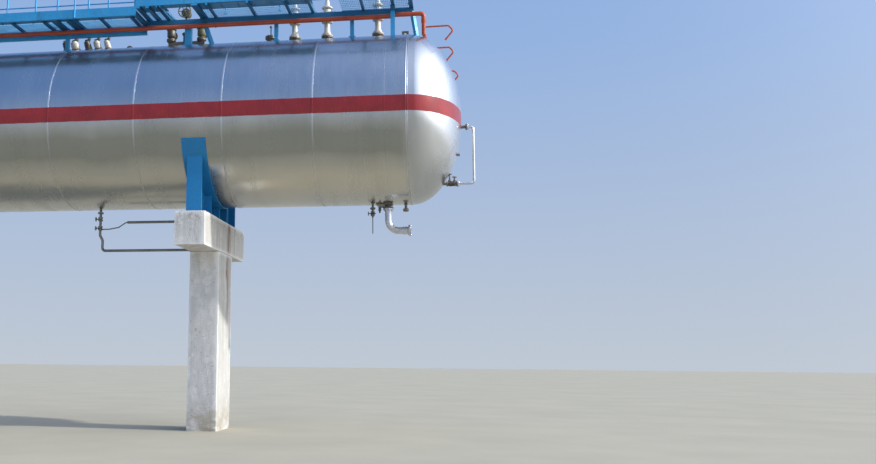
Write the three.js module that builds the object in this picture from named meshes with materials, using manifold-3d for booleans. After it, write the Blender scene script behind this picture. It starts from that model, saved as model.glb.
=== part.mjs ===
// A horizontal gas storage tank on two concrete piers, with a walkway, spray pipework and valves on top.
// Millimetres, +Z up, +X along the tank towards its piped end, -Y towards the walkway side.
import * as THREE from 'three';
import { mergeVertices } from 'three/addons/utils/BufferGeometryUtils.js';
import Module from 'manifold-3d';

const wasm = await Module();
wasm.setup();

// Driving dimensions of the vessel
const courseWidth = 1750;
const courseCount = 12;
const tangentX = (courseWidth * courseCount) / 2;
const shellRadius = 1700;
const shellWall = 20;
const headDepth = 1000;
const axisZ = 6160;
const shellSides = 48;
const headSteps = 7;
const seat = 0.3;

// Driving dimensions of the supports
const pierX = 6440;
const pierWidth = 600;
const shaftDepth = 1140;
const capDepth = 3470;
const capHeight = 650;
const capTopZ = 4150;
const basePlateThick = 25;
const saddleWidth = 300;
const saddleReach = 1450;
const endPlateThick = 40;
const hornDrop = 900;
const wearThick = 14;
const wearWidth = 475;

// Driving dimensions of the walkway
const nearY = -1300;
const farY = -500;
const deckFarY = -300;
const stepX = tangentX - 5400;
const walkEndX = tangentX + 100;
const crossHeight = 60;
const nearBeamHeight = 100;
const deckThick = 25;
const toeHeight = 85;
const railHeights = [505, 1000];
const railPostSpacing = 1140;
const legSize = 75;
const lowLevel = { deckZ: axisZ + 2130, nearTopZ: axisZ + 2130, farBeamHeight: 180 };
const highLevel = { deckZ: axisZ + 2232, nearTopZ: axisZ + 2310, farBeamHeight: 94 };
const crossWidth = 44;

// Driving dimensions of the pipework
const headerRadius = 45;
const headerY = -620;
const headerZ = axisZ + 1975;
const headerJogX = tangentX - 286;
const headerJog = 25;
const ringX = tangentX + 305;
const ringRadius = 1688;
const ringJointZ = axisZ + 1850;
const nozzleY = -20;
const bridleX = tangentX + 1230;
const bridleRadius = 25;
const outletX = tangentX - 456;
const outletRadius = 70;
const outletZ = axisZ - 2228;
const drainX = tangentX - 6460;

const UP = new THREE.Vector3(0, 0, 1);
const model = new THREE.Group();

// The overall length runs from the plain head's tip to the level tube, and the origin is under its middle.
model.position.x = -(bridleX + bridleRadius - (tangentX + headDepth)) / 2;

const jacket = new THREE.MeshStandardMaterial({ color: 0xb4b8bf, roughness: 0.32, metalness: 0.9 });
const concrete = new THREE.MeshStandardMaterial({ color: 0xcfcdc8, roughness: 0.9, metalness: 0 });
const bluePaint = new THREE.MeshStandardMaterial({ color: 0x0f66b0, roughness: 0.45, metalness: 0.2 });
const grating = new THREE.MeshStandardMaterial({ color: 0x7f9fc4, roughness: 0.55, metalness: 0.4 });
const rustRed = new THREE.MeshStandardMaterial({ color: 0x8c3322, roughness: 0.55, metalness: 0.2 });
const pipeMetal = new THREE.MeshStandardMaterial({ color: 0xb9bcc2, roughness: 0.35, metalness: 0.85 });
const darkMetal = new THREE.MeshStandardMaterial({ color: 0x3a3c38, roughness: 0.6, metalness: 0.6 });
const olivePaint = new THREE.MeshStandardMaterial({ color: 0x5b5d45, roughness: 0.6, metalness: 0.3 });
const palePaint = new THREE.MeshStandardMaterial({ color: 0xd8d3c4, roughness: 0.5, metalness: 0.2 });

// Closed solids and boolean work

function solid(geometry) {
  const bare = geometry.index ? geometry.clone() : geometry;
  bare.deleteAttribute('normal');
  bare.deleteAttribute('uv');
  const merged = mergeVertices(bare, 1e-3);
  const vertProperties = Float32Array.from(merged.attributes.position.array);
  const triVerts = Uint32Array.from(merged.index.array);
  return new wasm.Manifold(new wasm.Mesh({ numProp: 3, vertProperties, triVerts }));
}

function join(...pieces) {
  return pieces.reduce((whole, piece) => whole.add(piece));
}

function addPart(name, piece, material) {
  const mesh = piece.getMesh();
  const geometry = new THREE.BufferGeometry();
  geometry.setAttribute('position', new THREE.BufferAttribute(mesh.vertProperties, 3));
  geometry.setIndex(new THREE.BufferAttribute(mesh.triVerts, 1));
  geometry.computeVertexNormals();
  const part = new THREE.Mesh(geometry, material);
  part.name = name;
  model.add(part);
}

// Basic pieces, each given by its place in the tank's own frame

function block(low, high) {
  const size = high.map((value, i) => value - low[i]);
  const middle = high.map((value, i) => (value + low[i]) / 2);
  return solid(new THREE.BoxGeometry(...size).translate(...middle));
}

function rod(from, to, radius, sides = 12, endRadius = radius) {
  const a = new THREE.Vector3(...from);
  const b = new THREE.Vector3(...to);
  const along = b.clone().sub(a);
  const geometry = new THREE.CylinderGeometry(endRadius, radius, along.length(), sides);
  geometry.rotateX(Math.PI / 2);
  geometry.applyQuaternion(new THREE.Quaternion().setFromUnitVectors(UP, along.normalize()));
  geometry.translate(...a.add(b).multiplyScalar(0.5).toArray());
  return solid(geometry);
}

function post(x, y, lowZ, highZ, radius, sides = 12) {
  return rod([x, y, lowZ], [x, y, highZ], radius, sides);
}

// A prism with its outline in Y and Z, running along X.
function prismX(outline, fromX, toX) {
  const shape = new THREE.Shape(outline.map(([y, z]) => new THREE.Vector2(y, z)));
  const geometry = new THREE.ExtrudeGeometry(shape, { depth: toX - fromX, bevelEnabled: false });
  geometry.applyMatrix4(new THREE.Matrix4().makeBasis(
    new THREE.Vector3(0, 1, 0),
    new THREE.Vector3(0, 0, 1),
    new THREE.Vector3(1, 0, 0),
  ));
  geometry.translate(fromX, 0, 0);
  return solid(geometry);
}

// A body of revolution about the tank's axis. Its closed outline is given as [radius, x] pairs.
function turned(outline) {
  const points = outline.map(([radius, x]) => new THREE.Vector2(radius, x));
  const geometry = new THREE.LatheGeometry([...points, points[0].clone()], shellSides);
  geometry.rotateZ(-Math.PI / 2);
  geometry.translate(0, 0, axisZ);
  return solid(geometry);
}

// The centre line of a pipe: straight runs whose corners are rounded in a few steps.
class PipeRoute extends THREE.Curve {
  constructor(corners, bendRadius, bendSteps) {
    super();
    const points = corners.map((corner) => new THREE.Vector3(...corner));
    this.stations = [points[0]];
    for (let i = 1; i < points.length - 1; i += 1) {
      const back = points[i - 1].clone().sub(points[i]).normalize();
      const ahead = points[i + 1].clone().sub(points[i]).normalize();
      const reach = bendRadius / Math.tan(back.angleTo(ahead) / 2);
      const arc = new THREE.QuadraticBezierCurve3(
        points[i].clone().addScaledVector(back, reach),
        points[i],
        points[i].clone().addScaledVector(ahead, reach),
      );
      this.stations.push(...arc.getPoints(bendSteps));
    }
    this.stations.push(points[points.length - 1]);
  }

  getPoint(t) {
    const last = this.stations.length - 1;
    const index = Math.min(Math.floor(t * last + 1e-9), last - 1);
    return this.stations[index].clone().lerp(this.stations[index + 1], t * last - index);
  }

  getPointAt(u) {
    return this.getPoint(u);
  }

  getTangentAt(u) {
    const last = this.stations.length - 1;
    const index = Math.round(u * last);
    const here = this.stations[index];
    const into = here.clone().sub(this.stations[Math.max(index - 1, 0)]).normalize();
    const onward = this.stations[Math.min(index + 1, last)].clone().sub(here).normalize();
    return into.add(onward).normalize();
  }
}

function pipe(corners, radius, { bend = 3 * radius, steps = 3, sides = 10 } = {}) {
  const ring = new THREE.Shape();
  for (let i = 0; i < sides; i += 1) {
    const angle = (2 * Math.PI * i) / sides;
    const point = [radius * Math.cos(angle), radius * Math.sin(angle)];
    if (i === 0) ring.moveTo(...point);
    else ring.lineTo(...point);
  }
  const route = new PipeRoute(corners, bend, steps);
  const stepCount = route.stations.length - 1;
  return solid(new THREE.ExtrudeGeometry(ring, { steps: stepCount, extrudePath: route }));
}

// Vessel shell: a barrel and two semi-ellipsoidal heads

function ringPoints(radius, fromStep, toStep) {
  const points = [];
  for (let step = fromStep; step <= toStep; step += 1) {
    const angle = (2 * Math.PI * step) / shellSides - Math.PI / 2;
    points.push([radius * Math.cos(angle), axisZ + radius * Math.sin(angle)]);
  }
  return points;
}

// The space that the vessel and its seating gap fill, for cutting what stands on it.
const vesselSpace = (() => {
  const rounded = headSteps * 2;
  const points = [];
  for (let i = 0; i <= rounded; i += 1) {
    const angle = (Math.PI * i) / rounded - Math.PI / 2;
    const radius = i === 0 || i === rounded ? 0 : (shellRadius + seat) * Math.cos(angle);
    const x = (headDepth + seat) * Math.sin(angle);
    if (i === headSteps) points.push(new THREE.Vector2(radius, -tangentX));
    points.push(new THREE.Vector2(radius, x + (i < headSteps ? -tangentX : tangentX)));
  }
  const geometry = new THREE.LatheGeometry(points, shellSides);
  geometry.rotateZ(-Math.PI / 2);
  geometry.translate(0, 0, axisZ);
  return solid(geometry);
})();

function headOutline(side) {
  const outer = [];
  const inner = [];
  const face = tangentX + seat / 2;
  for (let i = 0; i <= headSteps; i += 1) {
    const angle = (Math.PI / 2) * (i / headSteps);
    outer.push([shellRadius * Math.cos(angle), face + headDepth * Math.sin(angle)]);
    inner.push([(shellRadius - shellWall) * Math.cos(angle), face + (headDepth - shellWall) * Math.sin(angle)]);
  }
  outer[headSteps][0] = 0;
  inner[headSteps][0] = 0;
  const loop = [...outer, ...inner.reverse()].map(([radius, x]) => [radius, side * x]);
  return side > 0 ? loop : loop.reverse();
}

function shellTop(y, radius = shellRadius) {
  return axisZ + Math.sqrt(radius ** 2 - y ** 2);
}

function dish(side) {
  const points = headOutline(side).map(([radius, x]) => new THREE.Vector2(radius, x));
  const geometry = new THREE.LatheGeometry(points, shellSides);
  const closing = new THREE.LatheGeometry([points[points.length - 1], points[0]], shellSides);
  const all = [geometry, closing].map((piece) => piece.toNonIndexed());
  const merged = new THREE.BufferGeometry();
  const positions = all.flatMap((piece) => Array.from(piece.attributes.position.array));
  merged.setAttribute('position', new THREE.Float32BufferAttribute(positions, 3));
  merged.rotateZ(-Math.PI / 2);
  merged.translate(0, 0, axisZ);
  return solid(merged);
}

function buildShell() {
  const end = tangentX - seat / 2;
  const inner = shellRadius - shellWall;
  const barrel = turned([[inner, -end], [shellRadius, -end], [shellRadius, end], [inner, end]]);
  addPart('tank_barrel', barrel, jacket);
  addPart('tank_head_right', dish(1), jacket);
  addPart('tank_head_left', dish(-1), jacket);
}

// Supports: piers cast with a cap, and welded saddles

function saddleSteel(x) {
  const floorZ = capTopZ + basePlateThick + 2 * seat;
  const halfWidth = saddleWidth / 2;
  const plates = [block([x - 10, -saddleReach, floorZ], [x + 10, saddleReach, axisZ])];
  const ends = [-saddleReach + endPlateThick / 2, saddleReach - endPlateThick / 2];
  for (const y of ends) {
    const half = endPlateThick / 2;
    plates.push(block([x - halfWidth, y - half, floorZ], [x + halfWidth, y + half, axisZ]));
  }
  for (const y of [-680, 0, 680]) {
    plates.push(block([x - halfWidth, y - 10, floorZ], [x + halfWidth, y + 10, axisZ]));
  }
  const wearSpace = prismX(
    ringPoints(shellRadius + wearThick + 2 * seat, 0, shellSides - 1),
    x - wearWidth,
    x + wearWidth,
  );
  const hornCut = block([x - wearWidth, -shellRadius, axisZ - hornDrop], [x + wearWidth, shellRadius, axisZ + 10]);
  return join(...plates).subtract(wearSpace).subtract(hornCut);
}

// The wear plate's arc follows the shell's facets, and ends a part of the way along a facet.
function wearArc(radius) {
  const halfSteps = 9;
  const part = 0.31;
  const points = ringPoints(radius, -halfSteps - 1, halfSteps + 1);
  const last = points.length - 1;
  const between = (from, to) => from.map((value, i) => THREE.MathUtils.lerp(value, to[i], part));
  return [between(points[1], points[0]), ...points.slice(1, last), between(points[last - 1], points[last])];
}

function wearPlate(x) {
  const outer = wearArc(shellRadius + seat + wearThick);
  const inner = wearArc(shellRadius + seat).reverse();
  return prismX([...outer, ...inner], x - wearWidth / 2, x + wearWidth / 2);
}

function buildSupport(side, x) {
  const half = pierWidth / 2;
  const plateHalf = saddleReach + 50;
  const capZ = capTopZ - capHeight;
  const shaft = block([x - half, -shaftDepth / 2, 0], [x + half, shaftDepth / 2, capZ - seat]);
  const cap = block([x - half, -capDepth / 2, capZ], [x + half, capDepth / 2, capTopZ]);
  const basePlate = block(
    [x - saddleWidth / 2 - 20, -plateHalf, capTopZ + seat],
    [x + saddleWidth / 2 + 20, plateHalf, capTopZ + basePlateThick + seat],
  );
  addPart(`pier_shaft_${side}`, shaft, concrete);
  addPart(`pier_cap_${side}`, cap, concrete);
  addPart(`saddle_base_plate_${side}`, basePlate, bluePaint);
  addPart(`saddle_web_${side}`, saddleSteel(x), bluePaint);
  addPart(`saddle_wear_plate_${side}`, wearPlate(x), bluePaint);
}

// Walkway: two frames at different levels, each on legs that stand on the shell

// A channel that runs along X. Its web is at webY and its flanges point away from the walkway's near side.
function channel(fromX, toX, webY, lowZ, highZ) {
  const thick = 8;
  const flangeY = webY + 55;
  const outline = [
    [webY, lowZ],
    [flangeY, lowZ],
    [flangeY, lowZ + thick],
    [webY + thick, lowZ + thick],
    [webY + thick, highZ - thick],
    [flangeY, highZ - thick],
    [flangeY, highZ],
    [webY, highZ],
  ];
  return prismX(outline, fromX, toX);
}

function leg(x, topZ, size = legSize) {
  const y = farY + 30;
  const half = size / 2;
  const foot = new THREE.BoxGeometry(size + 50, size + 50, 90);
  foot.rotateX(Math.asin(-y / shellRadius));
  foot.translate(x, y, shellTop(y) - 28);
  const upright = block([x - half, y - half, shellTop(y) - 60], [x + half, y + half, topZ]);
  return join(upright, solid(foot)).subtract(vesselSpace);
}

// A leaning leg of square bar, from the far beam down to the shell or the head.
function leaningLeg(topX, footX, topZ, size) {
  const y = farY + 30;
  const upright = rod([footX, y, axisZ + 1500], [topX, y, topZ], size * Math.SQRT1_2, 4);
  return upright.subtract(vesselSpace);
}

// A flat bar that stands on the shell in front of the spray header and carries a cross member.
function flatPost(x, topZ) {
  const y = headerY - 80;
  return block([x - 43, y - 7, axisZ + 1400], [x + 43, y + 7, topZ]).subtract(vesselSpace);
}

// The frame of one level: its two long channels, its end members and its cross members, given as [x, width] pairs.
function walkwayFrame(fromX, toX, level, members) {
  const { deckZ, nearTopZ, farBeamHeight } = level;
  const crossZ = deckZ - crossHeight;
  const pieces = [
    channel(fromX, toX, nearY, nearTopZ - nearBeamHeight, nearTopZ),
    channel(fromX, toX, farY, crossZ - farBeamHeight, crossZ + 1),
  ];
  const all = [[fromX + 40, 80], ...members, [toX - 40, 80]];
  const bars = all.map(([x, width]) => block(
    [x - width / 2, nearY + 4, crossZ],
    [x + width / 2, deckFarY - 1, deckZ],
  ));
  return join(...pieces, ...bars);
}

// Places from a first one down towards a lower limit, at equal spacing.
function placesDown(firstX, lowestX, spacing) {
  const count = Math.floor((firstX - lowestX) / spacing) + 1;
  return Array.from({ length: count }, (_, i) => firstX - i * spacing);
}

function handrail(fromX, toX, y, footZ, deckZ, postXs) {
  const half = 20;
  const topZ = deckZ + railHeights[railHeights.length - 1];
  const bars = railHeights.map((height) => block(
    [fromX, y - 15, deckZ + height - 30],
    [toX, y + 15, deckZ + height],
  ));
  const posts = [fromX + half, ...postXs, toX - half].map((x) => block(
    [x - half, y - half, footZ],
    [x + half, y + half, topZ - 5],
  ));
  return join(...bars, ...posts);
}

// A post that runs past the outside of the near channel, with a stub to each bar of the handrail.
function outsidePost(x, level) {
  const lowZ = level.nearTopZ - nearBeamHeight;
  const topZ = level.deckZ + railHeights[railHeights.length - 1] - 5;
  const stubs = railHeights.map((height) => block(
    [x - 12, nearY - 5, level.deckZ + height - 28],
    [x + 12, nearY + 32, level.deckZ + height - 2],
  ));
  return join(block([x - 17, nearY - 35, lowZ], [x + 17, nearY - seat, topZ]), ...stubs);
}

function endRail(x, level) {
  const footZ = level.deckZ + deckThick + 2 * seat;
  const half = 20;
  const fromY = nearY + 60;
  const bars = railHeights.map((height) => block(
    [x - 15, fromY, level.deckZ + height - 30],
    [x + 15, farY, level.deckZ + height],
  ));
  const topZ = level.deckZ + railHeights[railHeights.length - 1] - 5;
  const posts = [fromY + half, farY - half].map((y) => block(
    [x - half, y - half, footZ],
    [x + half, y + half, topZ],
  ));
  return join(...bars, ...posts);
}

const lowLegXs = [-10200, -7700, -5500, -3300, -1100, 1100, 3345];
const highLegXs = [7827, 9375];
const wideLegX = 5982;
const flatPostX = 10203;
const bracketXs = [-9500, -7100, -4700, -2300, 100, 2500, 4700];
const outsidePostX = 3821;
const deckOpenings = [[5660, 6240], [8630, 9150]];
const lowMembers = [
  ...[4920, 4260, 3700, 3025].map((x) => [x, crossWidth]),
  [3565, 100],
  [3280, 130],
];
const highMembers = [
  ...[6559, 7385, 8111, 9598].map((x) => [x, crossWidth]),
  [5339, 70],
  [5532, 20],
  [5603, 20],
  [6311, 130],
  [8584, 60],
  [flatPostX, 60],
];

function deckPlate(fromX, toX, level, openings) {
  const floorZ = level.deckZ + seat;
  const topZ = floorZ + deckThick;
  const plate = block([fromX, nearY + 60, floorZ], [toX, deckFarY, topZ]);
  const cuts = openings.map(([openX, closeX]) => block(
    [openX, nearY + 260, floorZ - 1],
    [closeX, deckFarY + 1, topZ + 1],
  ));
  return cuts.reduce((left, cut) => left.subtract(cut), plate);
}

function buildFrames(highFrom) {
  const lowSpacing = placesDown(2335, -10200, 680).map((x) => [x, crossWidth]);
  const lowLegTop = lowLevel.deckZ - crossHeight - lowLevel.farBeamHeight + 4;
  const lowFrame = join(
    walkwayFrame(-walkEndX, stepX, lowLevel, [...lowSpacing, ...lowMembers]),
    ...lowLegXs.map((x) => leg(x, lowLegTop)),
  );
  const highLegTop = highLevel.deckZ - crossHeight - highLevel.farBeamHeight + 4;
  const highFrame = join(
    walkwayFrame(highFrom, walkEndX, highLevel, highMembers),
    ...highLegXs.map((x) => leg(x, highLegTop)),
    leg(wideLegX, highLegTop, 130),
    leaningLeg(6311, 6530, highLegTop + 20, 70),
    leaningLeg(walkEndX - 25, walkEndX + 72, highLegTop + 20, 70),
    flatPost(flatPostX, highLevel.deckZ - crossHeight + 4),
  );
  addPart('walkway_frame_low', lowFrame, bluePaint);
  addPart('walkway_frame_high', highFrame, bluePaint);
}

function buildWalkway() {
  const highFrom = stepX + seat;
  const endGap = 50;
  buildFrames(highFrom);
  const sections = [
    { name: 'low', level: lowLevel, fromX: -walkEndX, toX: stepX, nearFirst: 4100, farFirst: 4225 },
    { name: 'high', level: highLevel, fromX: highFrom, toX: walkEndX, nearFirst: 9500, farFirst: 10180 },
  ];
  for (const { name, level, fromX, toX, nearFirst, farFirst } of sections) {
    const low = name === 'low';
    const deckFrom = low ? fromX + endGap : fromX;
    const deckTo = low ? toX : toX - endGap;
    const farEnds = low ? [deckFrom + 5, toX] : [fromX, deckTo - 5];
    const nearFoot = level.nearTopZ + seat;
    const farFoot = level.deckZ + deckThick + 2 * seat;
    const toe = block([fromX, nearY, nearFoot], [toX, nearY + 8, nearFoot + toeHeight]);
    const lowestPost = fromX + railPostSpacing / 3;
    const nearPosts = placesDown(nearFirst, lowestPost, railPostSpacing);
    const farPosts = placesDown(farFirst, lowestPost, railPostSpacing)
      .filter((x) => low || !deckOpenings.some(([openX, closeX]) => x > openX - 60 && x < closeX + 60));
    addPart(`walkway_deck_${name}`, deckPlate(deckFrom, deckTo, level, low ? [] : deckOpenings), grating);
    addPart(`toe_plate_${name}`, toe, bluePaint);
    const nearRail = handrail(fromX, toX, nearY + 32, nearFoot, level.deckZ, nearPosts);
    const farRail = handrail(...farEnds, farY + 30, farFoot, level.deckZ, farPosts);
    addPart(`handrail_${name}`, low ? join(nearRail, outsidePost(outsidePostX, level)) : nearRail, bluePaint);
    addPart(`handrail_far_${name}`, farRail, bluePaint);
  }
  addPart('end_rail_left', endRail(-walkEndX + 25 + endGap, lowLevel), bluePaint);
  addPart('end_rail_right', endRail(walkEndX - 25 - endGap, highLevel), bluePaint);
}

// Water spray: a header under the walkway, and a branch over each head with hooked spray arms

function headerBracket(x, toY) {
  return block([x - 20, headerY, headerZ - 15], [x + 20, toY - seat, headerZ + 15]);
}

function buildHeader() {
  const endZ = headerZ + headerJog;
  const run = pipe([
    [-ringX, headerY, ringJointZ],
    [-ringX, headerY, headerZ],
    [headerJogX - 40, headerY, headerZ],
    [headerJogX + 40, headerY, endZ],
    [ringX, headerY, endZ],
    [ringX, headerY, ringJointZ],
  ], headerRadius, { bend: 38, steps: 2, sides: 12 });
  const couplings = [-ringX, ringX].map((x) => post(x, headerY, ringJointZ, ringJointZ + 40, 52, 12));
  const legFace = farY + 30 - legSize / 2;
  const brackets = [
    ...bracketXs.map((x) => headerBracket(x, farY)),
    ...highLegXs.map((x) => headerBracket(x, legFace)),
  ];
  addPart('deluge_header', join(run, ...couplings, ...brackets), rustRed);
}

// One hooked spray arm in the plane y, from the branch pipe at (ringX, z) out past the head and back towards it.
function sprayArm(y, z, reach) {
  return pipe([
    [ringX, y, z],
    [ringX + 480 + reach, y, z + 8],
    [ringX + 570 + reach, y, z - 92],
    [ringX + 415 + reach, y, z - 280],
  ], 17, { bend: 45, steps: 2, sides: 6 });
}

function buildBranch(name, side) {
  const startAngle = Math.asin(headerY / ringRadius);
  const endAngle = THREE.MathUtils.degToRad(105);
  const radius = 38;
  const arcSteps = 14;
  const arcPoints = [];
  for (let i = 0; i <= arcSteps; i += 1) {
    const angle = THREE.MathUtils.lerp(startAngle, endAngle, i / arcSteps);
    arcPoints.push([ringX, ringRadius * Math.sin(angle), axisZ + ringRadius * Math.cos(angle)]);
  }
  const topZ = ringJointZ - seat;
  const pieces = [
    pipe(arcPoints, radius, { bend: 1, steps: 1, sides: 8 }),
    post(ringX, headerY, arcPoints[0][2] - 10, topZ, radius + 4, 12),
    post(ringX, headerY, topZ - 40, topZ, 52, 12),
    sprayArm(headerY, axisZ + 1719, 0),
  ];
  for (const [degrees, reach] of [[16, 0], [40, 90], [70, 0]]) {
    const angle = THREE.MathUtils.degToRad(degrees);
    const y = ringRadius * Math.sin(angle);
    const z = axisZ + ringRadius * Math.cos(angle);
    pieces.push(sprayArm(y, z, reach));
    pieces.push(rod([ringX - 35, y, z], [ringX - 35, y * 0.92, axisZ + (z - axisZ) * 0.92], 15, 6));
  }
  let whole = join(...pieces).subtract(vesselSpace);
  if (side < 0) whole = whole.mirror([1, 0, 0]);
  addPart(name, whole, rustRed);
}

// Valves and nozzles on top of the shell

function buildTopNozzle(index, x) {
  const flangeZ = axisZ + 1815;
  const neck = join(
    post(x, nozzleY, axisZ + 1600, flangeZ, 60, 12),
    post(x, nozzleY, axisZ + 1600, shellTop(0) + 14, 105, 12),
    post(x, nozzleY, flangeZ - 30, flangeZ, 118, 14),
  ).subtract(vesselSpace);
  const foot = flangeZ + seat;
  const valve = join(
    post(x, nozzleY, foot, foot + 30, 118, 14),
    rod([x, nozzleY, foot + 25], [x, nozzleY, foot + 115], 98, 12, 62),
    post(x, nozzleY, foot, foot + 320, 62, 12),
    post(x, nozzleY, foot + 295, foot + 340, 112, 12),
    post(x, nozzleY, foot + 330, foot + 620, 80, 12),
    post(x, nozzleY, foot + 600, foot + 640, 112, 12),
    rod([x, nozzleY, foot + 635], [x, nozzleY, foot + 785], 62, 10, 40),
    rod([x, nozzleY, foot + 480], [x, nozzleY - 150, foot + 480], 30, 8),
    block([x - 14, nozzleY - 160, foot + 470], [x + 200, nozzleY - 138, foot + 492]),
  );
  addPart(`top_nozzle_${index}`, neck, jacket);
  addPart(`vapour_valve_${index}`, valve, palePaint);
}

function cappedNozzle(x, topZ, radius) {
  return join(
    post(x, nozzleY, axisZ + 1600, topZ, radius * 0.65, 12),
    post(x, nozzleY, topZ - 64, topZ, radius, 14),
    post(x, nozzleY, topZ, topZ + 30, radius * 0.4, 6),
  );
}

function buildCappedNozzles() {
  const ventX = tangentX - 2870;
  const vented = join(
    cappedNozzle(ventX, axisZ + 1875, 117),
    post(ventX, nozzleY, axisZ + 1875, axisZ + 2110, 13, 8),
    post(ventX, nozzleY, axisZ + 2060, axisZ + 2110, 30, 8),
  );
  const low = cappedNozzle(tangentX - 5935, axisZ + 1795, 78);
  addPart('capped_nozzle_1', vented.subtract(vesselSpace), darkMetal);
  addPart('capped_nozzle_2', low.subtract(vesselSpace), darkMetal);
}

function reliefValve(x, footZ) {
  return join(
    post(x, nozzleY, footZ, footZ + 24, 100, 12),
    post(x, nozzleY, footZ, footZ + 70, 60, 10),
    post(x, nozzleY, footZ + 55, footZ + 235, 92, 12),
    post(x, nozzleY, footZ + 225, footZ + 255, 108, 12),
    rod([x, nozzleY, footZ + 250], [x, nozzleY, footZ + 500], 62, 10, 44),
    post(x, nozzleY, footZ + 490, footZ + 560, 30, 8),
    rod([x, nozzleY, footZ + 145], [x, nozzleY + 150, footZ + 145], 58, 10),
    rod([x, nozzleY + 130, footZ + 145], [x, nozzleY + 155, footZ + 145], 100, 12),
  );
}

function handwheel(x, y, z, radius) {
  const rim = new THREE.TorusGeometry(radius, 14, 6, 12);
  rim.rotateX(Math.PI / 2);
  rim.translate(x, y, z);
  const spokes = [0, 60, 120].map((degrees) => {
    const angle = THREE.MathUtils.degToRad(degrees);
    const dx = (radius - 4) * Math.cos(angle);
    const dz = (radius - 4) * Math.sin(angle);
    return rod([x - dx, y, z - dz], [x + dx, y, z + dz], 8, 4);
  });
  return join(solid(rim), ...spokes, rod([x, y - 20, z], [x, y + 20, z], 24, 10));
}

function buildReliefGroup() {
  const x = tangentX - 4690;
  const bodyZ = axisZ + 1800;
  const spread = 330;
  const seats = bodyZ + 90;
  const wheelY = nozzleY - 190;
  const wheelZ = axisZ + 2462;
  const manifold = join(
    post(x, nozzleY, axisZ + 1600, bodyZ, 85, 12),
    rod([x - spread - 50, nozzleY, bodyZ], [x + spread + 50, nozzleY, bodyZ], 60, 10),
    ...[-spread, spread].map((dx) => post(x + dx, nozzleY, bodyZ, seats, 50, 10)),
    ...[-spread, spread].map((dx) => post(x + dx, nozzleY, seats - 24, seats, 100, 12)),
    post(x, nozzleY, bodyZ, bodyZ + 240, 70, 10),
    post(x, nozzleY, bodyZ + 200, bodyZ + 230, 96, 12),
    post(x, nozzleY, bodyZ, wheelZ + 20, 34, 8),
    rod([x, nozzleY, wheelZ], [x, wheelY + 20.3, wheelZ], 18, 8),
    rod([x, nozzleY + 70, wheelZ], [x, wheelY + 60, wheelZ], 98, 12),
  ).subtract(vesselSpace);
  addPart('relief_manifold', manifold, darkMetal);
  addPart('relief_valve_left', reliefValve(x - spread, seats + seat), darkMetal);
  addPart('relief_valve_right', reliefValve(x + spread, seats + seat), olivePaint);
  addPart('changeover_handwheel', handwheel(x, wheelY, wheelZ, 130), olivePaint);
}

// One device of the group: a drum that leans away from the piped end, with a small head beside its top.
function instrument(x, y, radius) {
  const baseZ = axisZ + 1700;
  const drumFoot = [x + 20, y, baseZ + 50];
  const drumTop = [x - 45, y, baseZ + 235];
  return join(
    post(x + 20, y, baseZ, baseZ + 62, radius + 22, 10),
    rod(drumFoot, drumTop, radius, 10, radius * 0.92),
    rod(drumTop, [x - 62, y, baseZ + 285], radius * 0.45, 8),
    rod([x - 20, y, baseZ + 240], [x + 45, y - 20, baseZ + 320], radius * 0.55, 8, radius * 0.4),
  );
}

function buildInstruments() {
  const centreX = tangentX - 6870;
  const pad = block([centreX - 590, -210, axisZ + 1600], [centreX + 590, 190, axisZ + 1718]);
  const offsets = [-470, -260, 25, 240, 465];
  const radii = [62, 88, 72, 74, 66];
  const devices = offsets.map((dx, i) => instrument(centreX + dx, nozzleY - 60, radii[i]));
  addPart('instrument_nozzles', join(pad, ...devices).subtract(vesselSpace), palePaint);
}

function liftingLug(x) {
  const plate = block([x - 70, -12, axisZ + 1650], [x + 70, 12, axisZ + 1860]);
  const eye = rod([x, -30, axisZ + 1800], [x, 30, axisZ + 1800], 28, 8);
  return plate.subtract(eye).subtract(vesselSpace);
}

// Piped end: level tube on the head, outlet and drains under the shell

function buildBridle() {
  const upperZ = axisZ - 172;
  const lowerZ = axisZ - 1310;
  const upperFace = tangentX + 1110;
  const lowerFace = tangentX + 910;
  const upper = join(
    rod([tangentX + 900, 0, upperZ], [upperFace, 0, upperZ], 30, 8),
    rod([upperFace - 20, 0, upperZ], [upperFace, 0, upperZ], 62, 12),
  ).subtract(vesselSpace);
  const lower = join(
    rod([tangentX + 560, 0, lowerZ], [lowerFace, 0, lowerZ], 30, 8),
    rod([tangentX + 690, 0, lowerZ], [tangentX + 870, 0, lowerZ], 55, 10),
    post(tangentX + 755, 0, lowerZ, lowerZ + 200, 20, 8),
    post(tangentX + 755, 0, lowerZ + 185, lowerZ + 205, 50, 10),
    post(tangentX + 850, 0, lowerZ, lowerZ + 140, 20, 8),
    post(tangentX + 850, 0, lowerZ + 125, lowerZ + 145, 50, 10),
    rod([lowerFace - 20, 0, lowerZ], [lowerFace, 0, lowerZ], 62, 12),
  ).subtract(vesselSpace);
  const tube = join(
    pipe([
      [upperFace + seat, 0, upperZ],
      [bridleX, 0, upperZ],
      [bridleX, 0, lowerZ],
      [lowerFace + seat, 0, lowerZ],
    ], bridleRadius, { bend: 60, steps: 2, sides: 8 }),
    rod([upperFace + seat, 0, upperZ], [upperFace + seat + 20, 0, upperZ], 62, 12),
    rod([lowerFace + seat, 0, lowerZ], [lowerFace + seat + 20, 0, lowerZ], 62, 12),
  );
  const gauge = join(
    rod([tangentX + 850, 0, axisZ - 728], [tangentX + 950, 0, axisZ - 728], 20, 8),
    rod([tangentX + 925, 0, axisZ - 728], [tangentX + 965, 0, axisZ - 728], 34, 8),
  ).subtract(vesselSpace);
  addPart('gauge_nozzle', gauge, darkMetal);
  addPart('bridle_nozzle_upper', upper, darkMetal);
  addPart('bridle_valve_lower', lower, darkMetal);
  addPart('level_tube', tube, pipeMetal);
}

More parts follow.
